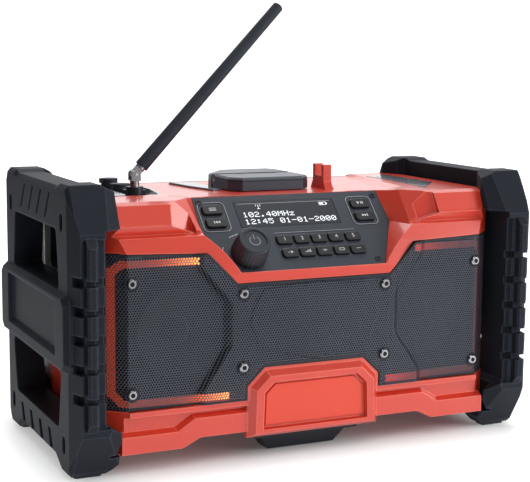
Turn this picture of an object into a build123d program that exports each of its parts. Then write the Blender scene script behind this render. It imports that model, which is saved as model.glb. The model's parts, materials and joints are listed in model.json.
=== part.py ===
from build123d import *
import math
import os

os.makedirs("parts", exist_ok=True)

# ---------------------------------------------------------------- dimensions
# Millimetres.  X to the right, Y to the back, Z up.  Origin on the floor,
# under the middle of the overall box.
BODY_X = 182.0            # half width of the housing
Y_SPLIT = 88.0            # seam between front and rear housing
Y_BACK = 104.0            # rear face of the housing
Z_BOT = 18.0              # underside of the housing at its ends
Z_BOT_MID = 25.5          # underside between the ends
Z_TOP = 221.0             # raised outer deck
Z_DECK = 218.8            # lower middle deck
WALL = 3.0

FRAME_IN = 188.0          # inner face of an end frame
FRAME_OUT = 214.0         # outer face of an end frame
FRAME_PANEL = 219.0       # raised centre panel of an end frame
FRAME_BLOCK = 173.0       # inner face of the corner blocks
FRAME_Y = 113.5           # half depth of an end frame
BEAD_Y = 120.0            # half depth over the column beads
FRAME_TOP = 237.5
BAR_TOP = 235.0

FAS_Y, FAS_Z = -100.5, 161.0     # lower edge of the control fascia
FAS_T = 2.5                      # fascia thickness

SEAT_X = 178.9                   # half width of the deep grille seat
GRILLE_X = 182.1                 # half width of the grille's shallow seat
YG, YC, T = -98.0, -103.4, 1.2   # grille: outer fields, raised middle, sheet

SPK_X, SPK_Z = 116.0, 113.0      # speaker axis
SPK_R = 43.0

ANT = (-128.5, -10.0, 237.0)     # antenna tilt pivot
ANT_DEG = 47.0                   # whip elevation at rest
ANT_LEN = 199.0                  # pivot to tip
WHIP_R0, WHIP_R1 = 5.9, 4.9

LID_X = 39.5
LID_Z0, LID_Z1 = 219.4, 231.2
PIN_Y, PIN_Z, PIN_R = 26.0, 225.35, 1.5
KNUCKLE_R = 5.6

TRAVEL = 1.0              # button travel
KNOB_TRAVEL = 0.6

# ---------------------------------------------------------------- helpers


def _face(pts3):
    return Face(Wire.make_polygon([Vector(*p) for p in pts3], close=True))


def pyz(pts, x0, x1):
    return Solid.extrude(_face([(x0, y, z) for y, z in pts]), Vector(x1 - x0, 0, 0))


def pxz(pts, y0, y1):
    return Solid.extrude(_face([(x, y0, z) for x, z in pts]), Vector(0, y1 - y0, 0))


def pxy(pts, z0, z1):
    return Solid.extrude(_face([(x, y, z0) for x, y in pts]), Vector(0, 0, z1 - z0))


def rounded(pts3, r):
    for q in (r, r * 0.7, r * 0.45):
        f = _face(pts3)
        try:
            return f.fillet_2d(q, f.vertices())
        except ValueError:
            continue
    return _face(pts3)


def ryz(pts, x0, x1, r):
    return Solid.extrude(rounded([(x0, y, z) for y, z in pts], r), Vector(x1 - x0, 0, 0))


def rxz(pts, y0, y1, r):
    return Solid.extrude(rounded([(x, y0, z) for x, z in pts], r), Vector(0, y1 - y0, 0))


def rxy(pts, z0, z1, r):
    return Solid.extrude(rounded([(x, y, z0) for x, y in pts], r), Vector(0, 0, z1 - z0))


def bx(x0, x1, y0, y1, z0, z1):
    return pxy([(x0, y0), (x1, y0), (x1, y1), (x0, y1)], z0, z1)


def cyl(p, d, r, h):
    return Solid.make_cylinder(r, h, Plane(origin=p, z_dir=d))


def cone(p, d, r0, r1, h):
    return Solid.make_cone(r0, r1, h, Plane(origin=p, z_dir=d))


def mx(s):
    return s.mirror(Plane.YZ)


def both(s):
    return [s, mx(s)]


def add(a, *bs):
    for b in bs:
        for s in (b if isinstance(b, (list, tuple)) else [b]):
            a = a + s
    return a


def cut(a, *bs):
    for b in bs:
        for s in (b if isinstance(b, (list, tuple)) else [b]):
            a = a - s
    return a


def grp(items):
    out = []
    for it in items:
        out.extend(it.solids())
    return Compound(out)


S = math.sqrt(0.5)
FN = Vector(0, -S, S)            # fascia normal
FV = Vector(0, S, S)             # up the fascia


def fp(u, v, w):
    return (u, FAS_Y + (v - w) * S, FAS_Z + (v + w) * S)


def fprism(pts, w0, w1, r=0.0):
    p3 = [fp(u, v, w0) for u, v in pts]
    f = rounded(p3, r) if r else _face(p3)
    return Solid.extrude(f, FN * (w1 - w0))


def fbox(u0, u1, v0, v1, w0, w1, r=0.0):
    return fprism([(u0, v0), (u1, v0), (u1, v1), (u0, v1)], w0, w1, r)


def fcyl(u, v, w0, w1, r):
    return cyl(fp(u, v, w0), FN, r, w1 - w0)


def floft(p0, w0, p1, w1):
    a = Wire.make_polygon([Vector(*fp(u, v, w0)) for u, v in p0], close=True)
    b = Wire.make_polygon([Vector(*fp(u, v, w1)) for u, v in p1], close=True)
    return Solid.make_loft([a, b], ruled=True)


def loft_y(p0, y0, p1, y1):
    a = Wire.make_polygon([Vector(x, y0, z) for x, z in p0], close=True)
    b = Wire.make_polygon([Vector(x, y1, z) for x, z in p1], close=True)
    return Solid.make_loft([a, b], ruled=True)


def loft_x(p0, x0, p1, x1):
    a = Wire.make_polygon([Vector(x0, y, z) for y, z in p0], close=True)
    b = Wire.make_polygon([Vector(x1, y, z) for y, z in p1], close=True)
    return Solid.make_loft([a, b], ruled=True)


def sym(pts):
    return list(pts) + [(-x, z) for x, z in reversed(pts)]


def plan_strip(d0, d1, xe=SEAT_X + 0.1):
    """Layer between two depths behind the face of the grille; its ends
    angle back with the corners of the housing."""
    pts = []
    for d, order in ((d0, 1), (d1, -1)):
        c = 165.4 - 0.376 * d
        ye = YG + d + 0.875 * (xe - c)
        row = [(-xe, ye), (-c, YG + d), (c, YG + d), (xe, ye)]
        pts += row[::order]
    return pxy(pts, 40, 195)


nodes = {}

# ================================================================ positions
grille_pos = [(162.3, 158.0, -98.0), (162.3, 67.5, -98.0),
              (66.9, 144.5, -103.6), (66.9, 82.5, -103.6)]
frame_screw_pos = [(79.0, 207.5), (-79.0, 207.5), (79.0, 27.0), (-79.0, 27.0)]
fascia_screw_uv = [(84.5, 75.6), (-84.5, 75.6), (63.6, 6.2), (-63.6, 6.2)]
housing_screw_pos = [(-150, 205), (-60, 205), (60, 205), (150, 205),
                     (-150, 36), (150, 36)]

# ================================================================ front housing
front_profile = [(Y_SPLIT - 0.15, Z_BOT), (-94.5, Z_BOT), (-95.5, 19.0), (-95.5, 48.0),
                 (-101.2, 49.0), (-101.2, 53.2), (-102.5, 54.0), (-102.5, 160.5),
                 (-98.0, 181.0), (-93.4, 193.4), (-89.4, 195.2), (-94.2, 202.8), (-92.9, 204.6), (-86.2, 219.2),
                 (-78.0, Z_TOP),
                 (Y_SPLIT - 0.15, Z_TOP)]
shell = pyz(front_profile, -BODY_X, BODY_X)

# corners of the plan angle back beside the frames
wedge = pxy([(165.5, -98.0), (165.5, -112.0), (186.0, -112.0), (186.0, -80.6)], 0, 240)
shell = cut(shell, both(wedge))

# raised lower band with its stepped crease
band = [(172, 19.0), (120, 19.0), (104, 26.5), (0, 26.5), (0, 43.0), (109, 43.0),
        (124, 33.5), (172, 33.5)]
band_in = [(172, 17.0), (119, 17.0), (103, 25.0), (0, 25.0), (0, 46.5), (110, 46.5),
           (126, 37.0), (172, 37.0)]
lo = loft_y(band_in, -94.5, band, -101.2)
shell = add(shell, both(lo))

# underside arch between the ends
shell = cut(shell, pxz([(-120, 10), (-120, Z_BOT), (-104, Z_BOT_MID), (104, Z_BOT_MID),
                        (120, Z_BOT), (120, 10)], -130, 130))

# the shoulder's inner end: a leaning face beside the ridge of the fascia
# recess, then a sunk field that ends in a step at the shoulder block


def front_of(a, b, c, x0, x1, z0, z1):
    va, vb, vc = Vector(*a), Vector(*b), Vector(*c)
    n = (vb - va).cross(vc - va).normalized()
    if n.Y > 0:
        n = n * -1
    return Solid.extrude(Face.make_rect(240, 240, Plane(origin=va, z_dir=n)), n * 60) & bx(x0, x1, -130, -40, z0, z1)


lip = front_of((103.5, -63.6, 221.0), (98.2, -91.0, 194.2), (123.4, -86.0, 220.0), 60, 124.0, 194.2, 240)
shell = cut(shell, both(lip))
field = front_of((108.0, -78.0, 219.0), (123.5, -83.0, 219.0), (125.0, -88.5, 203.0), 60, 130, 190, 240)
field = field & pxz([(109.2, 223.0), (124.2, 223.0), (126.4, 202.4), (104.0, 195.0)], -130, -40)
shell = cut(shell, both(field))

# fascia recess: flared bezel above the slanted seat
fas_out = [(68.4, 0.0), (90.8, 46.0), (89.6, 81.5), (-89.6, 81.5), (-90.8, 46.0), (-68.4, 0.0)]
flare = [(74.6, -9.0), (105.6, 11.6), (125.6, 118.0), (-125.6, 118.0), (-105.6, 11.6), (-74.6, -9.0)]
shell = cut(shell, floft(fas_out, 0.0, flare, 34.0))
shell = cut(shell, fprism(fas_out, -FAS_T, 0.5))

# middle deck is lower than the outer decks, with a bevelled riser
deck = [(80.0, -71.0), (89.6, -43.0), (131.0, 76.5), (134.0, 110.0), (-134.0, 110.0), (-131.0, 76.5), (-89.6, -43.0),
        (-80.0, -71.0)]
deck_up = [(116.3, -59.6), (135.6, -41.5), (135.2, 61.4), (137.9, 110.0), (-137.9, 110.0), (-135.2, 61.4), (-135.6, -41.5),
           (-116.3, -59.6)]
da = Wire.make_polygon([Vector(x, y, Z_DECK) for x, y in deck], close=True)
db = Wire.make_polygon([Vector(x, y, Z_TOP + 1.2) for x, y in deck_up], close=True)
deck_cut = Solid.make_loft([da, db], ruled=True)
shell = cut(shell, deck_cut)

# seat for the grille
g_out = [(181.5, 181.8), (97.2, 179.0), (72.1, 153.4), (-72.1, 153.4), (-97.2, 179.0),
         (-181.5, 181.8)]
g_seat = [(SEAT_X, 182.2), (97.0, 179.2), (71.8, 153.2), (-71.8, 153.2), (-97.0, 179.2),
          (-SEAT_X, 182.2), (-SEAT_X, 53.4), (-62.4, 53.4), (-62.4, 65.6), (-46.9, 80.6),
          (46.9, 80.6), (62.4, 65.6), (62.4, 53.4), (SEAT_X, 53.4)]
shell = cut(shell, pxz(g_seat, -130, -60.0))
g_wide = [(GRILLE_X + 1, 182.2), (170.0, 182.2), (170.0, 53.4), (GRILLE_X + 1, 53.4)]

# inner cavity, slanted behind the fascia, open towards the back
cav = pyz([(120, 29.0), (-92.0, 29.0), (-92.0, 157.0), (-37.0, 214.8), (120, 214.8)],
          -(BODY_X - WALL), BODY_X - WALL)
cav = cut(cav, both(wedge.moved(Location((-3.5, 3.5, 0)))))
shell = cut(shell, cav)
cav2 = pyz([(0, 100), (-86.0, 100), (-86.0, 186), (-82.0, 216.0), (0, 216.0)], 128, BODY_X - WALL - 1)
cav2 = cut(cav2, wedge.moved(Location((-5, 5, 0))))
shell = cut(shell, both(cav2))

# boss around the blank badge, with bevelled rim
b_out = [(46.7, 80.3), (62.0, 65.6), (62.4, 21.0), (-62.4, 21.0), (-62.0, 65.6), (-46.7, 80.3)]
b_rim = [(43.5, 73.5), (55.6, 61.8), (56.6, 25.0), (-56.6, 25.0), (-55.6, 61.8), (-43.5, 73.5)]
boss = loft_y(b_out, -100.5, b_rim, -107.3)
boss = add(boss, pxz(b_out, -95.0, -100.5))
boss = cut(boss, pxz([(-120, 10), (-120, Z_BOT), (-104, Z_BOT), (104, Z_BOT), (120, 10)], -99.0, -80))
shell = add(shell, boss)
rec = [(38.5, 67.2), (47.4, 58.8), (48.4, 29.0), (-48.4, 29.0), (-47.4, 58.8), (-38.5, 67.2)]
rec_o = [(39.7, 68.4), (48.8, 59.8), (49.8, 28.0), (-49.8, 28.0), (-48.8, 59.8), (-39.7, 68.4)]
shell = cut(shell, loft_y(rec_o, -107.4, rec, -102.4))

# windows: fascia seat
fas_win = [(60.0, 5.2), (86.6, 47.0), (86.6, 72.2), (79.5, 72.2), (79.5, 76.3), (-79.5, 76.3), (-79.5, 72.2),
           (-86.6, 72.2), (-86.6, 47.0), (-60.0, 5.2)]
shell = cut(shell, fprism(fas_win, -14.0, 0.0))

# compartment mouth and its rim
mouth = [(34.0, -9.5), (34.0, 17.0), (-34.0, 17.0), (-34.0, -9.5)]
shell = cut(shell, rxy(mouth, 205, 230, 3.0))

# antenna well and outer inlay seats
well = [(-160.5, -31.3), (-126.5, -31.3), (-111.3, -23.6), (-104.0, -10.0), (-97.5, 30.0), (-97.5, 82.0), (-160.5, 82.0)]
shell = cut(shell, pxy(well, 212.0, 240))
inlay = [(131.5, -60.0), (167.0, -17.0), (164.0, 70.0), (137.5, 58.0), (137.0, -20.0)]
shell = cut(shell, pxy(inlay, 218.4, 240))

# end openings for the hand pockets
pocket_mouth = [(-60.0, 148.0), (62.0, 148.0), (62.0, 206.0), (-60.0, 206.0)]
shell = cut(shell, both(ryz(pocket_mouth, 170, 190, 8.0)))

shell = cut(shell, both(pxz(g_wide, -130, -60) & plan_strip(-40, 1.4, GRILLE_X + 1)))

front_housing = shell

# ================================================================ rear housing
rear_profile = [(Y_SPLIT + 0.15, Z_BOT), (Y_BACK - 8, Z_BOT), (Y_BACK, Z_BOT + 8), (Y_BACK, Z_TOP - 14),
                (Y_BACK - 12, Z_TOP - 1.5), (Y_SPLIT + 0.15, Z_TOP - 0.0)]
rear = pyz(rear_profile, -BODY_X, BODY_X)
rear = cut(rear, both(pxy([(BODY_X - 10, Y_BACK + 1), (BODY_X + 1, Y_BACK - 10), (BODY_X + 1, Y_BACK + 1)], 0, 240)))
rear = cut(rear, pxz([(-120, 10), (-120, Z_BOT), (-104, Z_BOT_MID), (104, Z_BOT_MID),
                      (120, Z_BOT), (120, 10)], -130, 130))
rear = cut(rear, deck_cut)
rear_cav = pyz([(80, 29.0), (Y_BACK - 6, 29.0), (Y_BACK - 3, 32), (Y_BACK - 3, Z_TOP - 17), (Y_BACK - 14, Z_TOP - 5.5),
                (80, Z_TOP - 5.5)], -(BODY_X - WALL), BODY_X - WALL)
rear_cav = cut(rear_cav, both(pxy([(BODY_X - 15, Y_BACK), (BODY_X, Y_BACK - 15), (BODY_X, Y_BACK)], 0, 240)))
rear = cut(rear, rear_cav)

# ---- battery bay: opening and seat for the door in the rear wall
BAY_X, BAY_Z0, BAY_Z1, BAY_Y = 64.0, 46.0, 142.0, 30.0
DOOR_X, DOOR_Z0, DOOR_Z1 = 74.0, 38.0, 150.0
rear = add(rear, bx(-DOOR_X - 5, DOOR_X + 5, Y_BACK - 8.5, Y_BACK - 0.5, DOOR_Z0 - 5, DOOR_Z1 + 5))
rear = cut(rear, bx(-DOOR_X, DOOR_X, Y_BACK - 4.5, Y_BACK + 5, DOOR_Z0, DOOR_Z1))
rear = cut(rear, rxz([(-BAY_X, BAY_Z0), (BAY_X, BAY_Z0), (BAY_X, BAY_Z1), (-BAY_X, BAY_Z1)],
                     Y_BACK - 15, Y_BACK + 5, 4.0))
# cooling louvres
for i in range(7):
    zz = 120 + i * 9
    rear = cut(rear, bx(98, 160, Y_BACK - 1.6, Y_BACK + 1, zz, zz + 4), bx(-160, -98, Y_BACK - 1.6, Y_BACK + 1, zz, zz + 4))
# inlet opening
INLET_X, INLET_Z = -128.0, 62.0
rear = cut(rear, rxz([(INLET_X - 14, INLET_Z - 11), (INLET_X + 14, INLET_Z - 11),
                      (INLET_X + 14, INLET_Z + 11), (INLET_X - 14, INLET_Z + 11)], Y_BACK - 10, Y_BACK + 5, 2.0))
# countersunk screw seats
for x, z in housing_screw_pos:
    rear = add(rear, cyl((x, Y_SPLIT + 0.15, z), (0, 1, 0), 5.0, Y_BACK - 3.5 - Y_SPLIT)
               & bx(-400, 400, Y_SPLIT + 0.15, Y_BACK - 2.5, 28.9 if z < 100 else 150, Z_TOP - 5.6))
rear_housing = rear

# ================================================================ end frames
contour = [(-91, FRAME_TOP), (-68, FRAME_TOP), (-60, BAR_TOP), (60, BAR_TOP), (68, FRAME_TOP), (91, FRAME_TOP),
           (FRAME_Y, 201), (FRAME_Y, 40), (93, 6), (88, 2), (72, 2), (55, 11), (-55, 11), (-72, 2), (-88, 2),
           (-93, 6), (-FRAME_Y, 40), (-FRAME_Y, 201)]


def envelope(g):
    e = pyz([(Y_BACK + g, Z_BOT - g), (-101.2 - g, Z_BOT - g), (-101.2 - g, 54), (-102.5 - g, 56), (-102.5 - g, 160),
             (-98 - g, 181.5), (-94.6 - g, 194), (-94.6 - g, 204), (-93.2 - g, 205), (-86.4 - g, 219.3 + g),
             (-78 - g, Z_TOP + g), (Y_BACK - 13, Z_TOP + g),
             (Y_BACK + g, Z_TOP - 13)], -BODY_X - g, BODY_X + g)
    return e


def make_frame():
    f = pyz(contour, FRAME_IN, FRAME_OUT)
    f = chamfer(f.faces().sort_by(Axis.X)[-1].edges(), 3.6)
    # front and back slopes of the outer face
    for s in (1, -1):
        f = cut(f, pxy([(FRAME_OUT + 1, s * 92), (FRAME_OUT + 1, s * 122), (208.6, s * 122), (208.6, s * 114),
                        (FRAME_OUT, s * 94)], 0, 240))
    # corner blocks reaching over the housing
    inner = pyz(contour, FRAME_BLOCK, FRAME_IN + 1)
    top = pxz([(FRAME_BLOCK, 203), (190, 203), (190, 240), (186, 237.5), (FRAME_BLOCK, 231)], -125, 125)
    low = pxz([(190, 0), (184, 0), (FRAME_BLOCK, 11.2), (FRAME_BLOCK, 38.5), (190, 50)], -125, 125)
    blocks = (inner & top) + (inner & low)
    blocks = blocks - pxy([(170, -88), (173, -88), (180, -71.6), (187.99, -68), (187.99, 68), (180, 71.6), (173, 88),
                           (170, 88)], 150, 240) - bx(170, 187.99, -70, 70, 0, 60)
    # the blocks' inner corners lean back
    for a, b, c, z0, z1 in (((186, -112.5, 203), (172.9, -102.7, 203.1), (172.9, -88.2, 230.8), 195, 245),
                            ((186, -113.5, 41), (174.4, -105.2, 38.4), (174.3, -96.6, 11.3), -5, 60)):
        va, vb, vc = Vector(*a), Vector(*b), Vector(*c)
        n = (vb - va).cross(vc - va).normalized()
        if n.Y > 0:
            n = n * -1
        lean = Solid.extrude(Face.make_rect(300, 300, Plane(origin=va, z_dir=n)), n * 80) & bx(150, 186, -130, -40, z0, z1)
        blocks = cut(blocks, lean, lean.mirror(Plane.XZ))
    f = add(f, blocks.solids())
    # openings above and below the centre panel
    f = cut(f, ryz([(-72, 152), (72, 152), (64.5, 201), (-64.5, 201)], 180, 222, 5.0))
    f = cut(f, ryz([(-66, 38.5), (66, 38.5), (76, 87), (-76, 87)], 180, 222, 5.0))
    # column grooves and beads
    for s in (1, -1):
        f = cut(f, pxy([(206.6, s * 122), (206.6, s * 113.4), (205.4, s * 110.8), (195.0, s * 110.8),
                        (194.2, s * 109.8), (186.0, s * 109.8), (186.0, s * 122)], 46, 197))
        bead = pxy([(204.8, s * 109), (204.8, s * 118.4), (203.0, s * 120), (198.0, s * 120), (196.2, s * 118.4),
                    (196.2, s * 109)], 42, 201)
        bead = bead & pyz([(s * 105, 42), (s * 111, 42), (s * 120, 52), (s * 120, 191), (s * 111, 201), (s * 105, 201)],
                          190, 210)
        f = add(f, bead)
        for z in (163.5, 140.5, 117.5, 94.5, 70.5):
            f = cut(f, bx(205.2, 216.0, min(s * 100, s * 125), max(s * 100, s * 125), z - 4.0, z + 4.0))
            f = cut(f, bx(187.0, 196.0, min(s * 106.5, s * 125), max(s * 106.5, s * 125), z - 3.4, z + 3.4))
            f = cut(f, bx(195.9, 205.3, min(s * 112, s * 125), max(s * 112, s * 125), z - 2.3, z + 2.3))
    # raised centre panel with a sunk plain field
    pan = ryz([(-101, 88.5), (101, 88.5), (101, 151.5), (-101, 151.5)], FRAME_OUT - 4, FRAME_OUT, 12.0)
    pan = pan & pyz([(-101, 80), (101, 80), (101, 160), (-101, 160)], FRAME_OUT - 4, FRAME_OUT)
    pan2 = loft_x([(-101, 95), (-94, 88.5), (94, 88.5), (101, 95), (101, 145), (94, 152), (-94, 152), (-101, 145)],
                  FRAME_OUT - 0.2,
                  [(-97.5, 97), (-91.5, 92), (91.5, 92), (97.5, 97), (97.5, 143), (91, 148.5), (-91, 148.5), (-97.5, 143)],
                  FRAME_PANEL)
    f = add(f, pan, pan2)
    f = cut(f, loft_x([(-72, 104.5), (72, 104.5), (72, 143.6), (-72, 143.6)], FRAME_PANEL - 4.2,
                      [(-75, 100.0), (75, 100.0), (75, 145.2), (-75, 145.2)], FRAME_PANEL + 0.1))
    # slanted slits above, scallops below
    for y0 in (44.0, 18.7, -6.6, -32.0):
        f = cut(f, ryz([(y0 + 2.6, 206.5), (y0 - 2.6, 206.5), (y0 - 17.6, 229), (y0 - 12.4, 229)], 211.2, 220, 2.2))
    for y0 in (45.0, 16.0, -13.0, -42.0):
        f = cut(f, pyz([(y0 + 9, 31), (y0 + 1.5, 31), (y0 - 10.0, 7), (y0 + 1.0, 7)], 209.5, 220))
        f = cut(f, pyz([(y0 + 1.0, 7), (y0 - 8.0, 7), (y0 - 5.2, 14.0), (y0 - 0.5, 14.0)], 186, 220))
    # screw pockets
    for y, z in frame_screw_pos:
        f = cut(f, ryz([(y - 4.4, z - 7.5), (y + 4.4, z - 7.5), (y + 4.4, z + 7.5), (y - 4.4, z + 7.5)],
                       FRAME_OUT - 8, 222, 4.2))
        f = cut(f, cyl((FRAME_OUT - 7.0, y, z), (-1, 0, 0), 2.05, 60))
    # pad seats
    for s in (1, -1):
        f = cut(f, bx(184.0, 208.0, min(s * 74, s * 87), max(s * 74, s * 87), 0, 3.4))
    f = cut(f, envelope(0.15))
    return f


frame_r = make_frame()
frame_l = mx(frame_r)
nodes["side_frame_left"] = frame_l
nodes["side_frame_right"] = frame_r

screws = []
for y, z in frame_screw_pos:
    s = cyl((FRAME_OUT - 7.98, y, z), (1, 0, 0), 3.9, 3.3)
    s = add(s, cyl((FRAME_OUT - 8.0, y, z), (-1, 0, 0), 2.0, 32.0))
    s = cut(s, extrude(Plane(origin=(FRAME_OUT - 4.7, y, z), z_dir=(-1, 0, 0)) * RegularPolygon(1.9, 6), 2.2))
    screws += both(s)
nodes["frame_screws"] = grp(screws)
hole = []
for y, z in frame_screw_pos:
    hole += both(cyl((BODY_X - 40, y, z), (1, 0, 0), 2.02, 60))
    bossz = cyl((BODY_X - 9, y, z), (1, 0, 0), 5.0, 7.0)
    if y < 0:
        front_housing = add(front_housing, both(bossz))
    else:
        front_housing = add(front_housing, both(bossz))
front_housing = cut(front_housing, hole)
rear_housing = cut(rear_housing, hole)

pads = []
for s in (1, -1):
    p = rxy([(184.3, s * 74.3), (207.7, s * 74.3), (207.7, s * 86.7), (184.3, s * 86.7)], 0, 3.3, 3.0)
    pads += both(p)
nodes["frame_feet"] = grp(pads)

# ================================================================ grille


def grille_outline(inset, sx=SEAT_X):
    i = inset
    return [(sx - i, 182.2 - i), (97.0 + 0.4 * i, 179.2 - i), (71.8 + 0.4 * i, 153.2 - i), (-71.8 - 0.4 * i, 153.2 - i),
            (-97.0 - 0.4 * i, 179.2 - i), (-sx + i, 182.2 - i), (-sx + i, 53.4 + i), (-62.4 - i, 53.4 + i),
            (-62.4 - i, 65.6 + 0.4 * i), (-46.9 - 0.4 * i, 80.6 + i), (46.9 + 0.4 * i, 80.6 + i), (62.4 + i, 65.6 + 0.4 * i),
            (62.4 + i, 53.4 + i), (sx - i, 53.4 + i)]


out2d = pxz(grille_outline(0.4, GRILLE_X), -120, -70)
g = plan_strip(0, T, GRILLE_X + 1) & out2d
mid_b = [(109.5, 190.0), (109.5, 170.0), (83.0, 139.0), (83.0, 99.0), (108.0, 64.0), (108.0, 45.0)]
mid_t = [(102.0, 190.0), (102.0, 167.5), (76.5, 137.0), (76.5, 101.0), (100.5, 66.5), (100.5, 45.0)]
pan_o = loft_y(sym(mid_b), YG + T, sym(mid_t), YC) & out2d
pan_i = loft_y(sym([(x - T * 1.1, z) for x, z in mid_b]), YG + T + 0.01, sym([(x - T * 1.1, z) for x, z in mid_t]), YC + T)
g = cut(g, pxz(sym([(x - T * 1.1, z) for x, z in mid_b]), YG - 1, YG + T + 1))
g = add(g, pan_o)
g = cut(g, pan_i)
g = cut(g, boss, lo, mx(lo))
scr = []
for x, z, y in grille_pos:
    for sx in (1, -1):
        yy = YG if abs(x) > 100 else YC
        g = cut(g, cyl((sx * x, yy - 5, z), (0, 1, 0), 2.05, 12))
        s = cone((sx * x, yy - 2.3, z), (0, 1, 0), 3.2, 4.1, 1.0)
        s = add(s, cyl((sx * x, yy - 1.35, z), (0, 1, 0), 4.1, 1.3))
        s = add(s, cyl((sx * x, yy - 0.3, z), (0, 1, 0), 1.98, 20.0 + (YG - yy) - 3.5))
        s = cut(s, extrude(Plane(origin=(sx * x, yy - 2.4, z), z_dir=(0, 1, 0)) * RegularPolygon(1.7, 6), 1.7))
        scr.append(s)
        front_housing = cut(front_housing, cyl((sx * x, -110, z), (0, 1, 0), 2.02, 40))
nodes["speaker_grille"] = g
nodes["grille_screws"] = grp(scr)

# ================================================================ baffle, light guides, speakers
BF_Y1 = YG + 9.2
baffle = plan_strip(5.8, 9.2) & pxz(grille_outline(0.6), -120, -70)
for sx in (1, -1):
    baffle = cut(baffle, cyl((sx * SPK_X, -100, SPK_Z), (0, 1, 0), SPK_R - 3, 30))
for x, z, y in grille_pos:
    for sx in (1, -1):
        baffle = cut(baffle, cyl((sx * x, -100, z), (0, 1, 0), 2.1, 30))
# C-shaped light guides standing in front of the baffle
guides = []
path_o = [(103.0, 175.2), (168.6, 176.0), (178.7, 167.2), (178.7, 66.0), (169.6, 55.8), (76.0, 54.4)]
path_i = [(103.0, 169.5), (166.5, 170.3), (172.6, 164.8), (172.6, 68.6), (166.6, 61.2), (76.0, 60.0)]
gd = plan_strip(3.4, 5.6) & pxz(path_o + path_i[::-1], -110, -70)
for x, z, y in grille_pos:
    gd = cut(gd, cyl((x, -100, z), (0, 1, 0), 4.6, 30))
    gd = max(gd.solids(), key=lambda q: q.volume) if len(gd.solids()) > 1 else gd
guides = both(gd)
nodes["led_light_guides"] = grp(guides)
# ledge of the housing behind the baffle, with tabs for the grille screws
ring = cut(pxz(g_seat, -120, -60), pxz(grille_outline(9.0), -121, -59))
for x, z, y in grille_pos:
    tab = bx(x - 5, 180, -120, -60, z - 5, z + 5) if x > 100 else bx(x - 5, x + 5, -120, -60, min(z, 113) - 30, z + 5) \
        if z < 113 else bx(x - 5, x + 5, -120, -60, z - 5, z + 12)
    ring = add(ring, both(tab & pxz(grille_outline(-0.3), -120, -60)))
front_housing = add(front_housing, (ring & plan_strip(9.4, 12.6, SEAT_X + 1.5)))
for x, z, y in grille_pos:
    for sx in (1, -1):
        front_housing = add(front_housing, cut(cyl((sx * x, YG + 9.4, z), (0, 1, 0), 4.5, 12.0),
                                               plan_strip(0, 9.4)))
        front_housing = cut(front_housing, cyl((sx * x, -110, z), (0, 1, 0), 2.02, 40))
nodes["speaker_baffle"] = baffle

baskets, cones, magnets, gaskets, sscr = [], [], [], [], []
for sx in (1, -1):
    cx = sx * SPK_X
    y0 = BF_Y1
    gk = cut(cyl((cx, y0 - 0.1, SPK_Z), (0, 1, 0), SPK_R + 1.5, 1.5), cyl((cx, y0 - 1, SPK_Z), (0, 1, 0), SPK_R - 3.5, 4))
    gaskets.append(gk)
    b = cyl((cx, y0 + 1.5, SPK_Z), (0, 1, 0), SPK_R + 1.5, 2.0)
    b = add(b, cone((cx, y0 + 3.4, SPK_Z), (0, 1, 0), SPK_R - 3.0, 24.0, 18.0))
    b = add(b, cyl((cx, y0 + 21.3, SPK_Z), (0, 1, 0), 24.0, 2.2))
    b = cut(b, cyl((cx, y0, SPK_Z), (0, 1, 0), SPK_R - 4.6, 3.45))
    b = cut(b, cone((cx, y0 + 3.4, SPK_Z), (0, 1, 0), SPK_R - 4.6, 22.0, 18.0))
    b = cut(b, cyl((cx, y0 + 20, SPK_Z), (0, 1, 0), 13.0, 6))
    for k in range(6):
        a = math.radians(60 * k + 30)
        w = bx(-8, 8, 5.4, 17.5, -60, 60).rotate(Axis.Y, 60 * k).moved(Location((cx, y0, SPK_Z)))
        if k < 3:
            b = cut(b, w & cone((cx, y0 + 3.4, SPK_Z), (0, 1, 0), SPK_R + 1, 28, 18.0))
    baskets.append(b)
    c = cone((cx, y0 + 2.6, SPK_Z), (0, 1, 0), SPK_R - 5.2, 12.2, 16.0)
    c = cut(c, cone((cx, y0 + 1.8, SPK_Z), (0, 1, 0), SPK_R - 5.2, 12.2, 16.0))
    c = add(c, cyl((cx, y0 + 15.8, SPK_Z), (0, 1, 0), 12.2, 9.0))
    cap = Solid.make_sphere(14.0, Plane(origin=(cx, y0 + 21.5, SPK_Z))) & bx(-300, 300, y0 + 8, y0 + 16.5, 0, 300)
    c = add(c, cap)
    cones.append(c)
    m = cyl((cx, y0 + 25.2, SPK_Z), (0, 1, 0), 27.0, 15.0)
    magnets.append(m)
nodes["speaker_baffle"] = add(baffle, gaskets)
nodes["speaker_baskets"] = grp(baskets)
nodes["speaker_cones"] = grp(cones)
nodes["speaker_magnets"] = grp(magnets)

# ================================================================ badge panel (blank)
bp = [(37.2, 65.8), (45.8, 57.9), (46.8, 30.6), (-46.8, 30.6), (-45.8, 57.9), (-37.2, 65.8)]
nodes["badge_panel"] = chamfer(pxz(bp, -103.7, -102.45).faces().sort_by(Axis.Y)[0].edges(), 0.5)

# ================================================================ control fascia
fas = fprism([(68.1, 0.3), (90.4, 46.0), (89.2, 81.0), (-89.2, 81.0), (-90.4, 46.0), (-68.1, 0.3)], -FAS_T + 0.05, 0.0)
# display window opening
WIN = (-53.5, 42.5, 46.6, 75.0)
fas = cut(fas, floft([(WIN[0] + 1.6, WIN[2] + 1.6), (WIN[1] - 1.6, WIN[2] + 1.6), (WIN[1] - 1.6, WIN[3] - 1.6), (WIN[0] + 1.6, WIN[3] - 1.6)],
                     -FAS_T - 0.5,
                     [(WIN[0] - .3, WIN[2] - .3), (WIN[1] + .3, WIN[2] - .3), (WIN[1] + .3, WIN[3] + .3), (WIN[0] - .3, WIN[3] + .3)], 0.5))
KNOB_UV = (-56.0, 18.8)
fas = cut(fas, fcyl(KNOB_UV[0], KNOB_UV[1], -5, 2, 4.6))
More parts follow.
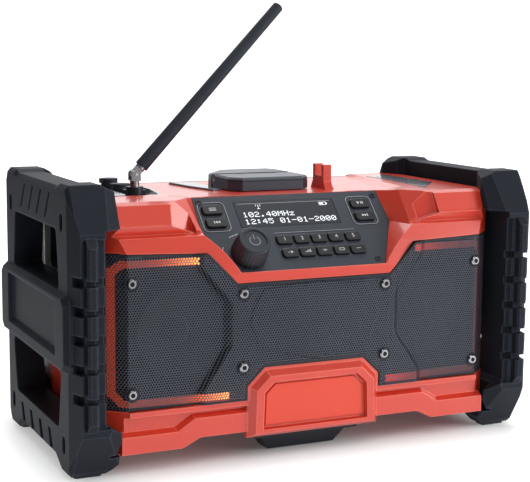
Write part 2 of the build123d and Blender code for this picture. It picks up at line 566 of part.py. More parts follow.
# raised key frames around the side keys
buttons = {}
BH = 0.35      # clearance round a key


def key(u, v, bw, bh, r, top):
    k = fbox(u - bw / 2, u + bw / 2, v - bh / 2, v + bh / 2, -4.6, top, r)
    try:
        k = fillet(k.faces().sort_by(Axis(origin=(0, 0, 0), direction=(FN.X, FN.Y, FN.Z)))[-1].edges(), 0.8)
    except Exception:
        pass
    fl = fbox(u - bw / 2 - 0.55, u + bw / 2 + 0.55, v - bh / 2 - 0.55, v + bh / 2 + 0.55, -4.6, -2.85, r)
    return add(k, fl)


side_keys = {"button_left_upper": (-75.0, 66.3), "button_left_lower": (-75.0, 52.4),
             "button_right_upper": (67.3, 66.5), "button_right_lower": (67.3, 52.4)}
for n, (u, v) in side_keys.items():
    buttons[n] = key(u, v, 18.6, 9.6, 3.2, 2.4)
    fas = cut(fas, fbox(u - 9.3 - BH, u + 9.3 + BH, v - 4.8 - BH, v + 4.8 + BH, -5, 2, 3.4))
# fine raised outline round each pair
for uc in (-75.0, 67.3):
    o = fbox(uc - 12.6, uc + 12.6, 43.6, 75.2, -0.05, 0.45, 5.0)
    i = fbox(uc - 11.9, uc + 11.9, 44.3, 74.5, -1.0, 1.0, 4.4)
    fas = add(fas, cut(o, i))
names_hi = ["preset_button_1", "preset_button_2", "preset_button_3", "preset_button_4", "preset_button_5"]
names_lo = ["function_button_1", "function_button_2", "function_button_3", "function_button_4", "function_button_5"]
for row, (nl, vv, u0, pit) in enumerate([(names_hi, 31.2, -18.6, 16.5), (names_lo, 17.2, -17.6, 16.3)]):
    for k_, n in enumerate(nl):
        u = u0 + k_ * pit
        buttons[n] = key(u, vv, 14.6, 9.0, 2.6, 2.2)
        fas = cut(fas, fbox(u - 7.3 - BH, u + 7.3 + BH, vv - 4.5 - BH, vv + 4.5 + BH, -5, 2, 2.8))
# fine line above the presets
fas = add(fas, fbox(-26.0, 51.5, 38.9, 39.4, -0.05, 0.35))
for u, v in fascia_screw_uv:
    fas = cut(fas, fcyl(u, v, -5, 2, 1.55))
    fas = cut(fas, fcyl(u, v, -0.9, 2, 3.1))
for u, v in ((-59.0, 59.0), (50.0, 59.0), (-40.0, 8.5), (57.5, 9.5)):
    fas = add(fas, fcyl(u, v, -7.58, -2.4, 2.0))
nodes["control_fascia"] = fas
fsc = []
for u, v in fascia_screw_uv:
    s = fcyl(u, v, -0.85, 0.5, 2.9)
    s = add(s, fcyl(u, v, -7.0, -0.8, 1.5))
    cr = fbox(u - 2.0, u + 2.0, v - 0.42, v + 0.42, -0.3, 2) + fbox(u - 0.42, u + 0.42, v - 2.0, v + 2.0, -0.3, 2)
    s = cut(s, cr)
    fsc.append(s)
    front_housing = cut(front_housing, fcyl(u, v, -20, 0, 1.52))
nodes["fascia_screws"] = grp(fsc)

nodes["display_window"] = fbox(WIN[0] + 0.4, WIN[1] - 0.4, WIN[2] + 0.4, WIN[3] - 0.4, -0.95, -0.1, 0.8) \
    & floft([(WIN[0] + 1.7, WIN[2] + 1.7), (WIN[1] - 1.7, WIN[2] + 1.7), (WIN[1] - 1.7, WIN[3] - 1.7), (WIN[0] + 1.7, WIN[3] - 1.7)],
            -FAS_T - 0.5, [(WIN[0] - .2, WIN[2] - .2), (WIN[1] + .2, WIN[2] - .2), (WIN[1] + .2, WIN[3] + .2), (WIN[0] - .2, WIN[3] + .2)], 0.5)
panel = fbox(WIN[0] + 2.5, WIN[1] - 2.5, WIN[2] + 1.8, 72.6, -7.7, -2.6, 0.8)
board = fprism([(59.0, 6.0), (84.0, 47.5), (84.0, 71.0), (-84.0, 71.0), (-84.0, 47.5), (-59.0, 6.0)], -9.2, -7.6)
swd = []
for n, (u, v) in list(side_keys.items()):
    board = add(board, fbox(u - 2.5, u + 2.5, v - 2.5, v + 2.5, -7.7, -6.2))
for k_ in range(5):
    board = add(board, fbox(-18.6 + k_ * 16.5 - 2.5, -18.6 + k_ * 16.5 + 2.5, 28.7, 33.7, -7.7, -6.2))
    board = add(board, fbox(-17.6 + k_ * 16.3 - 2.5, -17.6 + k_ * 16.3 + 2.5, 14.7, 19.7, -7.7, -6.2))
board = cut(board, fcyl(KNOB_UV[0], KNOB_UV[1], -12, -6, 3.0))
board = add(board, panel)
nodes["control_board"] = board

# rotary encoder with its threaded bush, plunger, shaft and knob
enc = fbox(KNOB_UV[0] - 6.5, KNOB_UV[0] + 6.5, KNOB_UV[1] - 6.5, KNOB_UV[1] + 6.5, -7.6, -3.0)
enc = add(enc, fcyl(KNOB_UV[0], KNOB_UV[1], -3.1, 4.0, 4.4))
enc = cut(enc, fcyl(KNOB_UV[0], KNOB_UV[1], -5.4, 5.0, 3.05))
enc = cut(enc, fcyl(KNOB_UV[0], KNOB_UV[1], -8.0, -5.3, 4.5))
nodes["rotary_encoder"] = enc
nodes["encoder_plunger"] = fcyl(KNOB_UV[0], KNOB_UV[1], -6.6, -5.9, 3.8)
shaft = fcyl(KNOB_UV[0], KNOB_UV[1], -5.5, 12.0, 3.0)
nodes["knob_shaft"] = shaft
kb = cone(fp(KNOB_UV[0], KNOB_UV[1], 1.4), FN, 15.5, 13.7, 18.6)
kb = fillet(kb.faces().sort_by(Axis(origin=(0, 0, 0), direction=(FN.X, FN.Y, FN.Z)))[-1].edges(), 1.2)
kb = cut(kb, fcyl(KNOB_UV[0], KNOB_UV[1], 17.2 + 1.9, 25, 10.6))
kb = cut(kb, fcyl(KNOB_UV[0], KNOB_UV[1], 0, 6.0, 12.2))
kb = cut(kb, fcyl(KNOB_UV[0], KNOB_UV[1], 0, 12.05, 3.0))
for k_ in range(30):
    a = 2 * math.pi * k_ / 30
    kb = cut(kb, fcyl(KNOB_UV[0] + 15.8 * math.cos(a), KNOB_UV[1] + 15.8 * math.sin(a), 0, 16.0, 0.85))
nodes["volume_knob"] = kb
for n, b in buttons.items():
    nodes[n] = b

# ================================================================ top: compartment, lid, antenna, clip
tub_o = [(33.7, -9.2), (33.7, 16.7), (-33.7, 16.7), (-33.7, -9.2)]
tub_i = [(31.7, -7.2), (31.7, 14.7), (-31.7, 14.7), (-31.7, -7.2)]
tub = rxy(tub_o, 178.0, Z_DECK, 2.8)
tub = cut(tub, rxy(tub_i, 180.0, 230, 2.0))
for x in (-16, 10):
    tub = cut(tub, bx(x - 6.6, x + 6.6, 14, 18, 186, 191))
tub = cut(tub, cyl((26, 10, 188.5), (0, 1, 0), 3.1, 10))
nodes["compartment_tub"] = tub
usb = []
for x in (-16, 10):
    s = bx(x - 6.5, x + 6.5, 14.9, 27.0, 186.1, 190.9)
    s = cut(s, bx(x - 5.5, x + 5.5, 14, 24, 187.0, 190.1))
    s = add(s, bx(x - 5.2, x + 5.2, 16.5, 25, 188.3, 189.1))
    usb.append(s)
aux = cut(cyl((26, 14.9, 188.5), (0, 1, 0), 3.0, 13), cyl((26, 14, 188.5), (0, 1, 0), 1.75, 12))
usb.append(aux)
nodes["compartment_sockets"] = grp(usb)

lid_pts = [(LID_X, -6.0), (30.0, -16.0), (-29.7, -16.0), (-LID_X, -6.0), (-LID_X, PIN_Y), (LID_X, PIN_Y)]
lid = pxy(lid_pts, LID_Z0, LID_Z1)
try:
    lid = chamfer(lid.faces().sort_by(Axis.Z)[-1].edges(), 1.8)
except Exception:
    pass
lid = cut(lid, pxy([(36.0, -4.0), (28.5, -12.5), (-28.5, -12.5), (-36.0, -4.0), (-36.0, 17.0), (36.0, 17.0)], 215, LID_Z0 + 6.5))
# groove line round the front and side faces
gl = pxy([(60, -40), (60, 60), (-60, 60), (-60, -40)], 227.3, 227.9)
gl = cut(gl, pxy([(LID_X - .6, -5.7), (29.7, -15.4), (-29.4, -15.4), (-LID_X + .6, -5.7), (-LID_X + .6, 60), (LID_X - .6, 60)], 220, 235))
lid = cut(lid, gl)
lid = cut(lid, bx(-60, 60, PIN_Y - 0.001, 60, 200, 240))
lid = cut(lid, bx(-20.2, 20.2, PIN_Y - 6.8, 60, 200, 240))
for kx0, kx1 in ((20.2, LID_X), (-LID_X, -20.2)):
    lid = add(lid, cyl((kx0, PIN_Y, PIN_Z), (1, 0, 0), KNUCKLE_R, kx1 - kx0))
lid = cut(lid, cyl((-60, PIN_Y, PIN_Z), (1, 0, 0), PIN_R + 0.05, 120))
nodes["compartment_lid"] = lid
seal = rxy([(35.8, -11.3), (35.8, 16.8), (-35.8, 16.8), (-35.8, -11.3)], LID_Z0, LID_Z0 + 6.4, 3.0)
seal = seal & pxy([(35.7, -4.1), (28.4, -12.3), (-28.4, -12.3), (-35.7, -4.1), (-35.7, 16.8), (35.7, 16.8)], 210, 240)
seal = cut(seal, rxy([(32.5, -8.0), (32.5, 14.8), (-32.5, 14.8), (-32.5, -8.0)], 200, 240, 2.5))
nodes["lid_seal"] = seal
nodes["lid_hinge_pin"] = cyl((-LID_X - 0.3, PIN_Y, PIN_Z), (1, 0, 0), PIN_R, 2 * LID_X + 0.6)
hb = pxy([(-39.5, 32.4), (-38.5, 42.0), (-14.0, 72.0), (34.0, 72.0), (40.0, 60.0), (40.0, 32.4)], Z_DECK + 0.02, LID_Z1 - 0.1)
try:
    hb = chamfer(hb.faces().sort_by(Axis.Z)[-1].edges().filter_by(lambda e: e.center().Y > 32.5), 1.6)
except Exception:
    pass
hb = add(hb, bx(-19.9, 19.9, PIN_Y, 33, Z_DECK + 0.02, PIN_Z + 3.0), cyl((-19.9, PIN_Y, PIN_Z), (1, 0, 0), KNUCKLE_R, 39.8))
hb = cut(hb, bx(-60, 60, 0, 80, 200, Z_DECK + 0.02))
hb = cut(hb, cyl((-60, PIN_Y, PIN_Z), (1, 0, 0), PIN_R, 120))
nodes["lid_hinge_block"] = hb

# inlays: the antenna well liner and the outer deck plate
wl = [(-160.2, -31.0), (-126.6, -31.0), (-111.6, -23.4), (-104.3, -9.9), (-97.8, 30.0), (-97.8, 81.7), (-160.2, 81.7)]
wl_i = [(-140.6, -28.6), (-127.2, -28.6), (-113.4, -21.6), (-106.6, -9.4), (-100.2, 30.2), (-100.2, 79.5), (-140.6, 79.5)]
wa = pxy(wl, 212.05, 219.4)
wa = add(wa, pxy([(-160.2, -31.0), (-144.5, -31.0), (-141.2, -24.0), (-141.2, 81.7), (-160.2, 81.7)], 219.0, 221.4))
wa = cut(wa, pxy(wl_i, 214.6, 240))
il = [(131.9, -59.1), (166.7, -16.9), (163.7, 69.5), (137.8, 57.8), (137.3, -20.1)]
ib = pxy(il, 218.45, 221.3)
for k_ in range(3):
    ib = cut(ib, pxy([(143 + 7 * k_, -36 + 8 * k_), (145 + 7 * k_, -34 + 8 * k_), (144.6 + 7 * k_, 50), (142.6 + 7 * k_, 49)], 220.7, 225))
wb = pxy([(-66.0, 72.0), (-61.0, 36.0), (-51.5, -1.0), (-42.5, 1.5), (-42.5, 64.0)], Z_DECK + 0.02, Z_DECK + 1.7)
try:
    wb = chamfer(wb.faces().sort_by(Axis.Z)[-1].edges(), 0.8)
except Exception:
    pass
nodes["top_inlays"] = grp([wa, ib, wb])

AX, AY, AZ = ANT
base = cyl((AX, AY, 214.7), (0, 0, 1), 7.4, 11.8)
base = add(base, bx(AX - 7.4, AX + 9.6, AY - 3.0, AY + 12, 214.7, 223.4) & cyl((AX, AY, 200), (0, 0, 1), 15.5, 40))
base = cut(base, cyl((AX, AY, 214), (0, 0, 1), 5.05, 20))
nodes["antenna_base"] = base
yoke = cyl((AX, AY, 216.0), (0, 0, 1), 5.0, 10.4)
yoke = add(yoke, cyl((AX, AY, 226.2), (0, 0, 1), 4.0, 6.4))
fork = bx(AX - 4.0, AX + 4.0, AY - 5.4, AY + 5.4, 231.5, AZ) + cyl((AX, AY - 5.4, AZ), (0, 1, 0), 4.0, 10.8)
fork = cut(fork, cyl((AX, AY - 2.75, AZ), (0, 1, 0), 5.2, 5.5), bx(AX - 10, AX + 10, AY - 2.75, AY + 2.75, 232.6, 250))
yoke = add(yoke, fork)
yoke = cut(yoke, cyl((AX, AY - 20, AZ), (0, 1, 0), 1.5, 40))
nodes["antenna_yoke"] = yoke
nodes["antenna_pin"] = cyl((AX, AY - 5.9, AZ), (0, 1, 0), 1.5, 11.8)
ca, sa = math.cos(math.radians(ANT_DEG)), math.sin(math.radians(ANT_DEG))
D = Vector(ca, 0, sa)
P0 = Vector(AX, AY, AZ)
kn = cyl((AX, AY - 2.45, AZ), (0, 1, 0), 3.8, 4.9)
kn = add(kn, Solid.extrude(Face.make_rect(4.9, 7.4, Plane(origin=P0, x_dir=(0, 1, 0), z_dir=D)), D * 8.6))
kn = add(kn, cyl(P0 + D * 6.6, D, 4.4, 2.4))
kn = add(kn, cyl(P0 + D * 8.9, D, 2.6, 14.0))
kn = cut(kn, cyl((AX, AY - 20, AZ), (0, 1, 0), 1.55, 40))
nodes["antenna_knuckle"] = kn
w0, w1 = P0 + D * 9.05, P0 + D * ANT_LEN
wh = cone(w0, D, WHIP_R0, WHIP_R1, ANT_LEN - 9.05)
wh = cut(wh, cyl(w0 - D * 1, D, 2.6, 14.95))
wh = fillet(wh.edges().sort_by(Axis(origin=(0, 0, 0), direction=(D.X, D.Y, D.Z)))[-1:], 2.2)
nodes["antenna_whip"] = wh

caps = []
for (x, y, h, r) in ((-128.0, 28.0, 225.6, 8.0), (-127.0, 63.0, 227.2, 7.5)):
    c = cyl((x, y, 214.7), (0, 0, 1), r - 1.5, 6.0)
    c = add(c, cyl((x, y, 220.3), (0, 0, 1), r, h - 220.3))
    c = add(c, bx(x - r - 1.2, x + 3, y - 3.5, y + 3.5, h - 4.2, h))
    caps.append(c)
nodes["socket_caps"] = grp(caps)

# stowage clip: two prongs astride the folded whip
CX0, CX1 = 48.5, 56.5
clip = bx(CX0, CX1, -20.6, 0.6, Z_DECK + 0.02, 230.8)
clip = add(clip, bx(CX0, CX1, -20.6, -15.9, 229, 241.0), bx(CX0, CX1, -4.1, 0.6, 229, 241.0))
clip = add(clip, pyz([(-20.6, Z_DECK + 0.02), (-24.5, Z_DECK + 0.02), (-20.6, 226)], CX0, CX1),
           pyz([(0.6, Z_DECK + 0.02), (4.5, Z_DECK + 0.02), (0.6, 226)], CX0, CX1))
clip = add(clip, pxz([(CX1, Z_DECK + 0.02), (CX1 + 3, Z_DECK + 0.02), (CX1, 223.5)], -20.6, 0.6))
clip = cut(clip, cyl((CX0 - 5, AY, AZ), (1, 0, 0), 5.9, 30), bx(CX0 - 5, CX1 + 10, -15.9, -4.1, AZ, 260))
nodes["antenna_clip"] = clip

# hand pockets in the ends
hp = ryz([(-59.7, 148.3), (61.7, 148.3), (61.7, 205.7), (-59.7, 205.7)], 146.0, BODY_X, 7.8)
hp = add(hp, ryz([(-59.7, 148.3), (61.7, 148.3), (61.7, 205.7), (-59.7, 205.7)], BODY_X - 1, 183.5, 7.8),
         pyz([(-78, 140), (78, 140), (78, 202), (66, 202), (66, 212), (-66, 212), (-66, 202), (-78, 202)], 182.2, 183.5))
hp = cut(hp, ryz([(-57.4, 150.6), (59.4, 150.6), (59.4, 203.4), (-57.4, 203.4)], 148.4, BODY_X + 3, 6.0))
shelf = pyz([(-57.0, 150.0), (59.0, 150.0), (59.0, 152.5), (40, 157.5), (0, 160.0), (-30, 159.0), (-57.0, 154.0)], 148.0, 174.0)
hp = add(hp, shelf & ryz([(-57.4, 149.0), (59.4, 149.0), (59.4, 203.4), (-57.4, 203.4)], 147, 176, 5.0))
nodes["handle_pockets"] = grp(both(hp))

# ================================================================ power: bay, pack, door, inlet, transformer, boards
bay = rxz([(-BAY_X - 2.4, BAY_Z0 - 2.4), (BAY_X + 2.4, BAY_Z0 - 2.4), (BAY_X + 2.4, BAY_Z1 + 2.4), (-BAY_X - 2.4, BAY_Z1 + 2.4)],
          BAY_Y, Y_BACK - 8.6, 5.0)
bay = cut(bay, rxz([(-BAY_X, BAY_Z0), (BAY_X, BAY_Z0), (BAY_X, BAY_Z1), (-BAY_X, BAY_Z1)], BAY_Y + 2.4, Y_BACK, 4.0))
# rails that take the pack
for s in (1, -1):
    bay = add(bay, bx(min(s * 41.0, s * 46.0), max(s * 41.0, s * 46.0), BAY_Y + 2.3, 84, 122, BAY_Z1 + 0.1))
    bay = add(bay, bx(min(s * 37.0, s * 46.0), max(s * 37.0, s * 46.0), BAY_Y + 2.3, 84, 122, 125))
pack = rxz([(-38.5, 52), (38.5, 52), (38.5, 118), (-38.5, 118)], BAY_Y + 6, 88, 6.0)
pack = add(pack, bx(-34.0, 34.0, BAY_Y + 8, 84, 117.5, 126.5), bx(-40.0, 40.0, BAY_Y + 8, 84, 126.3, 131.5))
nodes["battery_pack"] = pack
cts = [bx(x - 0.6, x + 0.6, BAY_Y + 2.3, BAY_Y + 7.4, 120.0, 129.0) for x in (-20, -7, 7, 20)]
bay = add(bay, cts)
nodes["battery_bay"] = bay

HZ, HY = DOOR_Z0 + 3.4, Y_BACK - 1.2          # door hinge line
door = bx(-DOOR_X + 0.6, DOOR_X - 0.6, Y_BACK - 4.0, Y_BACK - 0.6, HZ, DOOR_Z1 - 0.6)
door = add(door, rxz([(-60, 56), (60, 56), (60, 136), (-60, 136)], Y_BACK - 1.5, Y_BACK + 1.8, 8.0))
door = add(door, cyl((-DOOR_X + 0.6, HY - 1.1, HZ), (1, 0, 0), 2.6, 2 * DOOR_X - 1.2))
door = add(door, pyz([(Y_BACK - 1.0, 139.0), (Y_BACK + 1.0, 139.4), (Y_BACK + 2.6, 146.8), (Y_BACK - 1.0, 147.2)], -15, 15))
door = cut(door, cyl((-100, HY - 1.1, HZ), (1, 0, 0), 1.06, 200))
nodes["battery_door"] = door
pin = cyl((-DOOR_X - 3.0, HY - 1.1, HZ), (1, 0, 0), 1.0, 2 * DOOR_X + 6.0)
nodes["door_hinge_pin"] = pin
rear_housing = cut(rear_housing, cyl((-DOOR_X - 3.0, HY - 1.1, HZ), (1, 0, 0), 1.01, 2 * DOOR_X + 6.0))
rear_housing = cut(rear_housing, cyl((-DOOR_X, HY - 1.1, HZ), (1, 0, 0), 3.1, 2 * DOOR_X))

inl = rxz([(INLET_X - 13.8, INLET_Z - 10.8), (INLET_X + 13.8, INLET_Z - 10.8), (INLET_X + 13.8, INLET_Z + 10.8),
           (INLET_X - 13.8, INLET_Z + 10.8)], Y_BACK - 24, Y_BACK - 0.4, 1.8)
inl = cut(inl, pxz([(INLET_X - 11.5, INLET_Z - 8.5), (INLET_X + 11.5, INLET_Z - 8.5), (INLET_X + 11.5, INLET_Z + 4.5),
                    (INLET_X + 7.5, INLET_Z + 8.5), (INLET_X - 7.5, INLET_Z + 8.5), (INLET_X - 11.5, INLET_Z + 4.5)],
                   Y_BACK - 20, Y_BACK + 3))
for dx, dz in ((0, 3.5), (-5.5, -2.5), (5.5, -2.5)):
    inl = add(inl, bx(INLET_X + dx - 1.0, INLET_X + dx + 1.0, Y_BACK - 21, Y_BACK - 6, INLET_Z + dz - 2, INLET_Z + dz + 2))
nodes["mains_inlet"] = inl

tr = bx(-158, -98, 30, 66, 29.05, 84.0)
tr = add(tr, bx(-150, -106, 22, 74, 42, 76))
nodes["transformer"] = tr
mb = bx(78, 168, -40, 66, 34, 35.6)
mb = add(mb, bx(90, 120, -20, 10, 35.5, 47), bx(130, 150, 0, 40, 35.5, 52), cyl((104, 40, 35.5), (0, 0, 1), 8, 22),
         cyl((124, 52, 35.5), (0, 0, 1), 6, 18))
for x, y in ((82, -36), (164, -36), (82, 62), (164, 62)):
    mb = add(mb, cyl((x, y, 29.02), (0, 0, 1), 2.5, 5.1))
nodes["main_board"] = mb

hs = []
for x, z in housing_screw_pos:
    rear_housing = cut(rear_housing, cyl((x, Y_BACK - 2.4, z), (0, 1, 0), 4.2, 5))
    rear_housing = cut(rear_housing, cyl((x, Y_BACK - 40, z), (0, 1, 0), 2.0, 45))
    s = cyl((x, Y_BACK - 2.35, z), (0, 1, 0), 3.9, 2.1)
    s = add(s, cyl((x, Y_BACK - 30, z), (0, 1, 0), 1.98, 28))
    s = cut(s, bx(x - 2.6, x + 2.6, Y_BACK - 1.4, Y_BACK + 1, z - 0.5, z + 0.5), bx(x - 0.5, x + 0.5, Y_BACK - 1.4, Y_BACK + 1, z - 2.6, z + 2.6))
    hs.append(s)
    zz0, zz1 = (28.9, 60) if z < 100 else (150, 214.9)
    bs = cyl((x, Y_BACK - 34, z), (0, 1, 0), 5.0, Y_SPLIT - 0.15 - (Y_BACK - 34)) & bx(-400, 400, 60, 95, z - 10, z + 10)
    web = bx(x - 2, x + 2, Y_BACK - 34, Y_SPLIT - 0.2, (z if z > 100 else 28), (216.5 if z > 100 else z))
    front_housing = add(front_housing, bs, web)
    front_housing = cut(front_housing, cyl((x, Y_BACK - 40, z), (0, 1, 0), 2.0, 45))
nodes["housing_screws"] = grp(hs)
front_housing = cut(front_housing, pxy(well, 212.0, 240))

# middle feet under the badge and at the back
ft = []
f1 = Solid.make_loft([Wire.make_polygon([Vector(x, y, 25.3) for x, y in ((-56, -92), (56, -92), (56, -50), (-56, -50))], close=True),
                      Wire.make_polygon([Vector(x, y, 15.0) for x, y in ((-49, -88), (49, -88), (49, -53), (-49, -53))], close=True)], ruled=True)
f1 = add(f1, Solid.make_loft([Wire.make_polygon([Vector(x, y, 15.2) for x, y in ((-41, -84), (41, -84), (41, -56), (-41, -56))], close=True),
                              Wire.make_polygon([Vector(x, y, 1.2) for x, y in ((-32, -77), (32, -77), (32, -58), (-32, -58))], close=True)], ruled=True))
ft.append(f1)
ft.append(f1.mirror(Plane.XZ).moved(Location((0, -6, 0))))
nodes["centre_feet"] = grp(ft)

nodes["front_housing"] = front_housing
nodes["rear_housing"] = rear_housing

for name, shape in nodes.items():
    export_step(shape if isinstance(shape, Compound) else Compound(shape.solids()), "parts/%s.step" % name)
    print(name, len(shape.solids()), round(sum(s.volume for s in shape.solids()) / 1000.0, 2), "cm3")
print(len(nodes), "nodes")
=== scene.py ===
import json
import math

import bmesh
import bpy
import numpy as np
from mathutils import Matrix, Vector


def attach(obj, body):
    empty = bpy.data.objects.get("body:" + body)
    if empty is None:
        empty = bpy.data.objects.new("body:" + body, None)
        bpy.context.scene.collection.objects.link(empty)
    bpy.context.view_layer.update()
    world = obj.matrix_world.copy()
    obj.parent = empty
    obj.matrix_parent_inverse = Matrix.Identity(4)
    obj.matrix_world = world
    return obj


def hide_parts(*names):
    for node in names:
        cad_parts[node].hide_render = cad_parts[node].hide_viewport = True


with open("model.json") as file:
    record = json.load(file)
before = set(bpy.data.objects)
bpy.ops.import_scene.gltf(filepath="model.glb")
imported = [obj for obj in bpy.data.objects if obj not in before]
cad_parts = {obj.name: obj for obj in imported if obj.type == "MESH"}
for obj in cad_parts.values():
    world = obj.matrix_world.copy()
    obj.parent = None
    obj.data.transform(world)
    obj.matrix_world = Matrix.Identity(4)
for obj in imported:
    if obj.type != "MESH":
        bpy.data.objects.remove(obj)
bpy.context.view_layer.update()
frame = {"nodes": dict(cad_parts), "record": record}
nodes = frame["nodes"]
scene = bpy.context.scene
S = math.sqrt(0.5)

# ------------------------------------------------------------------ camera
yaw, pitch, roll = math.radians(25.1115), math.radians(8.0808), math.radians(-0.5052)
fwd = Vector((math.sin(yaw) * math.cos(pitch), math.cos(yaw) * math.cos(pitch), -math.sin(pitch)))
right = Vector((math.cos(yaw), -math.sin(yaw), 0.0))
down = fwd.cross(right)
cr, sr = math.cos(roll), math.sin(roll)
r2 = right * cr + down * sr
d2 = -right * sr + down * cr
cam_data = bpy.data.cameras.new("camera")
cam = bpy.data.objects.new("camera", cam_data)
scene.collection.objects.link(cam)
m = Matrix(((r2.x, -d2.x, -fwd.x, -0.499857),
            (r2.y, -d2.y, -fwd.y, -1.066902),
            (r2.z, -d2.z, -fwd.z, 0.338468),
            (0, 0, 0, 1)))
cam.matrix_world = m
cam_data.sensor_fit = "HORIZONTAL"
cam_data.sensor_width = 36.0
cam_data.lens = 88.67
cam_data.clip_start = 0.05
cam_data.clip_end = 30
scene.camera = cam
scene.view_settings.view_transform = "Standard"
scene.view_settings.look = "None"

# ------------------------------------------------------------------ light and floor
world = bpy.data.worlds.new("studio")
scene.world = world
world.use_nodes = True
world.node_tree.nodes["Background"].inputs[0].default_value = (1.0, 1.0, 1.0, 1)
wt = world.node_tree
wc = wt.nodes.new("ShaderNodeTexCoord")
wx = wt.nodes.new("ShaderNodeSeparateXYZ")
wt.links.new(wc.outputs["Generated"], wx.inputs[0])
wr = wt.nodes.new("ShaderNodeMapRange")
wr.inputs["From Min"].default_value = -0.35
wr.inputs["From Max"].default_value = 0.80
wr.inputs["To Min"].default_value = 0.12
wr.inputs["To Max"].default_value = 0.62
wt.links.new(wx.outputs["X"], wr.inputs["Value"])
wt.links.new(wr.outputs["Result"], wt.nodes["Background"].inputs[1])


def area(name, loc, target, size, size_y, power, color=(1, 1, 1)):
    d = bpy.data.lights.new(name, "AREA")
    d.shape = "RECTANGLE"
    d.size, d.size_y = size, size_y
    d.energy = power
    d.color = color
    o = bpy.data.objects.new(name, d)
    scene.collection.objects.link(o)
    o.location = loc
    o.rotation_euler = (Vector(target) - Vector(loc)).to_track_quat("-Z", "Y").to_euler()
    return o


area("key", (-0.25, -1.40, 1.9), (0, 0, 0.12), 1.0, 0.8, 14.5)
area("top", (0.3, 0.65, 1.8), (0, 0.0, 0.1), 1.7, 1.1, 24)
area("fill", (1.45, -1.25, 0.55), (0.12, 0, 0.12), 0.8, 0.8, 18)
area("left", (-2.1, 0.2, 1.1), (-0.2, 0, 0.12), 0.8, 1.0, 2.0)

fm = bpy.data.materials.new("floor")
fm.use_nodes = True
fb = fm.node_tree.nodes["Principled BSDF"]
fn = fm.node_tree.nodes.new("ShaderNodeTexNoise")
fn.inputs["Scale"].default_value = 6.0
fr = fm.node_tree.nodes.new("ShaderNodeMapRange")
fr.inputs["To Min"].default_value = 0.42
fr.inputs["To Max"].default_value = 0.5
fm.node_tree.links.new(fn.outputs["Fac"], fr.inputs["Value"])
fm.node_tree.links.new(fr.outputs["Result"], fb.inputs["Roughness"])
fb.inputs["Base Color"].default_value = (0.52, 0.525, 0.53, 1)
fb.inputs["Specular IOR Level"].default_value = 0.25
fb.inputs["Emission Color"].default_value = (1.0, 1.0, 1.0, 1)
# floor glow varies with position: stronger towards the backdrop, fading to the left and towards the front
fg = fm.node_tree.nodes.new("ShaderNodeNewGeometry")
fx = fm.node_tree.nodes.new("ShaderNodeSeparateXYZ")
fm.node_tree.links.new(fg.outputs["Position"], fx.inputs[0])
fe = fm.node_tree.nodes.new("ShaderNodeMapRange")
fe.inputs["From Min"].default_value = 0.35
fe.inputs["From Max"].default_value = 1.6
fe.inputs["To Min"].default_value = 0.80
fe.inputs["To Max"].default_value = 1.05
fm.node_tree.links.new(fx.outputs["Y"], fe.inputs["Value"])
fl = fm.node_tree.nodes.new("ShaderNodeMapRange")
fl.interpolation_type = "SMOOTHSTEP"
fl.inputs["From Min"].default_value = -0.80
fl.inputs["From Max"].default_value = -0.33
fl.inputs["To Min"].default_value = 0.0
fl.inputs["To Max"].default_value = 1.0
fm.node_tree.links.new(fx.outputs["X"], fl.inputs["Value"])
ft = fm.node_tree.nodes.new("ShaderNodeMath")
ft.operation = "MULTIPLY"
fm.node_tree.links.new(fe.outputs["Result"], ft.inputs[0])
fm.node_tree.links.new(fl.outputs["Result"], ft.inputs[1])
fy = fm.node_tree.nodes.new("ShaderNodeMapRange")
fy.interpolation_type = "SMOOTHSTEP"
fy.inputs["From Min"].default_value = -0.85
fy.inputs["From Max"].default_value = -0.36
fy.inputs["To Min"].default_value = 0.25
fy.inputs["To Max"].default_value = 1.0
fm.node_tree.links.new(fx.outputs["Y"], fy.inputs["Value"])
fz = fm.node_tree.nodes.new("ShaderNodeMath")
fz.operation = "MULTIPLY"
fm.node_tree.links.new(ft.outputs["Value"], fz.inputs[0])
fm.node_tree.links.new(fy.outputs["Result"], fz.inputs[1])
# painted shadow: the floor's glow thins out to 6 per cent under and just around the radio


def painted_shadow_ramp(axis, near, far):
    ab_ = fm.node_tree.nodes.new("ShaderNodeMath")
    ab_.operation = "ABSOLUTE"
    fm.node_tree.links.new(fx.outputs[axis], ab_.inputs[0])
    mr_ = fm.node_tree.nodes.new("ShaderNodeMapRange")
    mr_.interpolation_type = "SMOOTHSTEP"
    mr_.inputs["From Min"].default_value = near
    mr_.inputs["From Max"].default_value = far
    mr_.inputs["To Min"].default_value = 0.06
    mr_.inputs["To Max"].default_value = 1.0
    fm.node_tree.links.new(ab_.outputs["Value"], mr_.inputs["Value"])
    return mr_


fs = fm.node_tree.nodes.new("ShaderNodeMath")
fs.operation = "MAXIMUM"
fm.node_tree.links.new(painted_shadow_ramp("X", 0.16, 0.250).outputs["Result"], fs.inputs[0])
fm.node_tree.links.new(painted_shadow_ramp("Y", 0.060, 0.140).outputs["Result"], fs.inputs[1])
fw = fm.node_tree.nodes.new("ShaderNodeMath")
fw.operation = "MULTIPLY"
fm.node_tree.links.new(fz.outputs["Value"], fw.inputs[0])
fm.node_tree.links.new(fs.outputs["Value"], fw.inputs[1])
fm.node_tree.links.new(fw.outputs["Value"], fb.inputs["Emission Strength"])
me = bpy.data.meshes.new("floor")
prof = [(-3.2, 0.0), (3.0, 0.0), (4.2, 0.25), (4.9, 0.9), (5.2, 1.9), (5.2, 4.0)]
vs = [(x, y, z) for y, z in prof for x in (-6.0, 6.0)]
me.from_pydata(vs, [], [(2 * i, 2 * i + 1, 2 * i + 3, 2 * i + 2) for i in range(len(prof) - 1)])
me.materials.append(fm)
floor = bpy.data.objects.new("floor", me)
scene.collection.objects.link(floor)
for p in me.polygons:
    p.use_smooth = True

# ------------------------------------------------------------------ materials


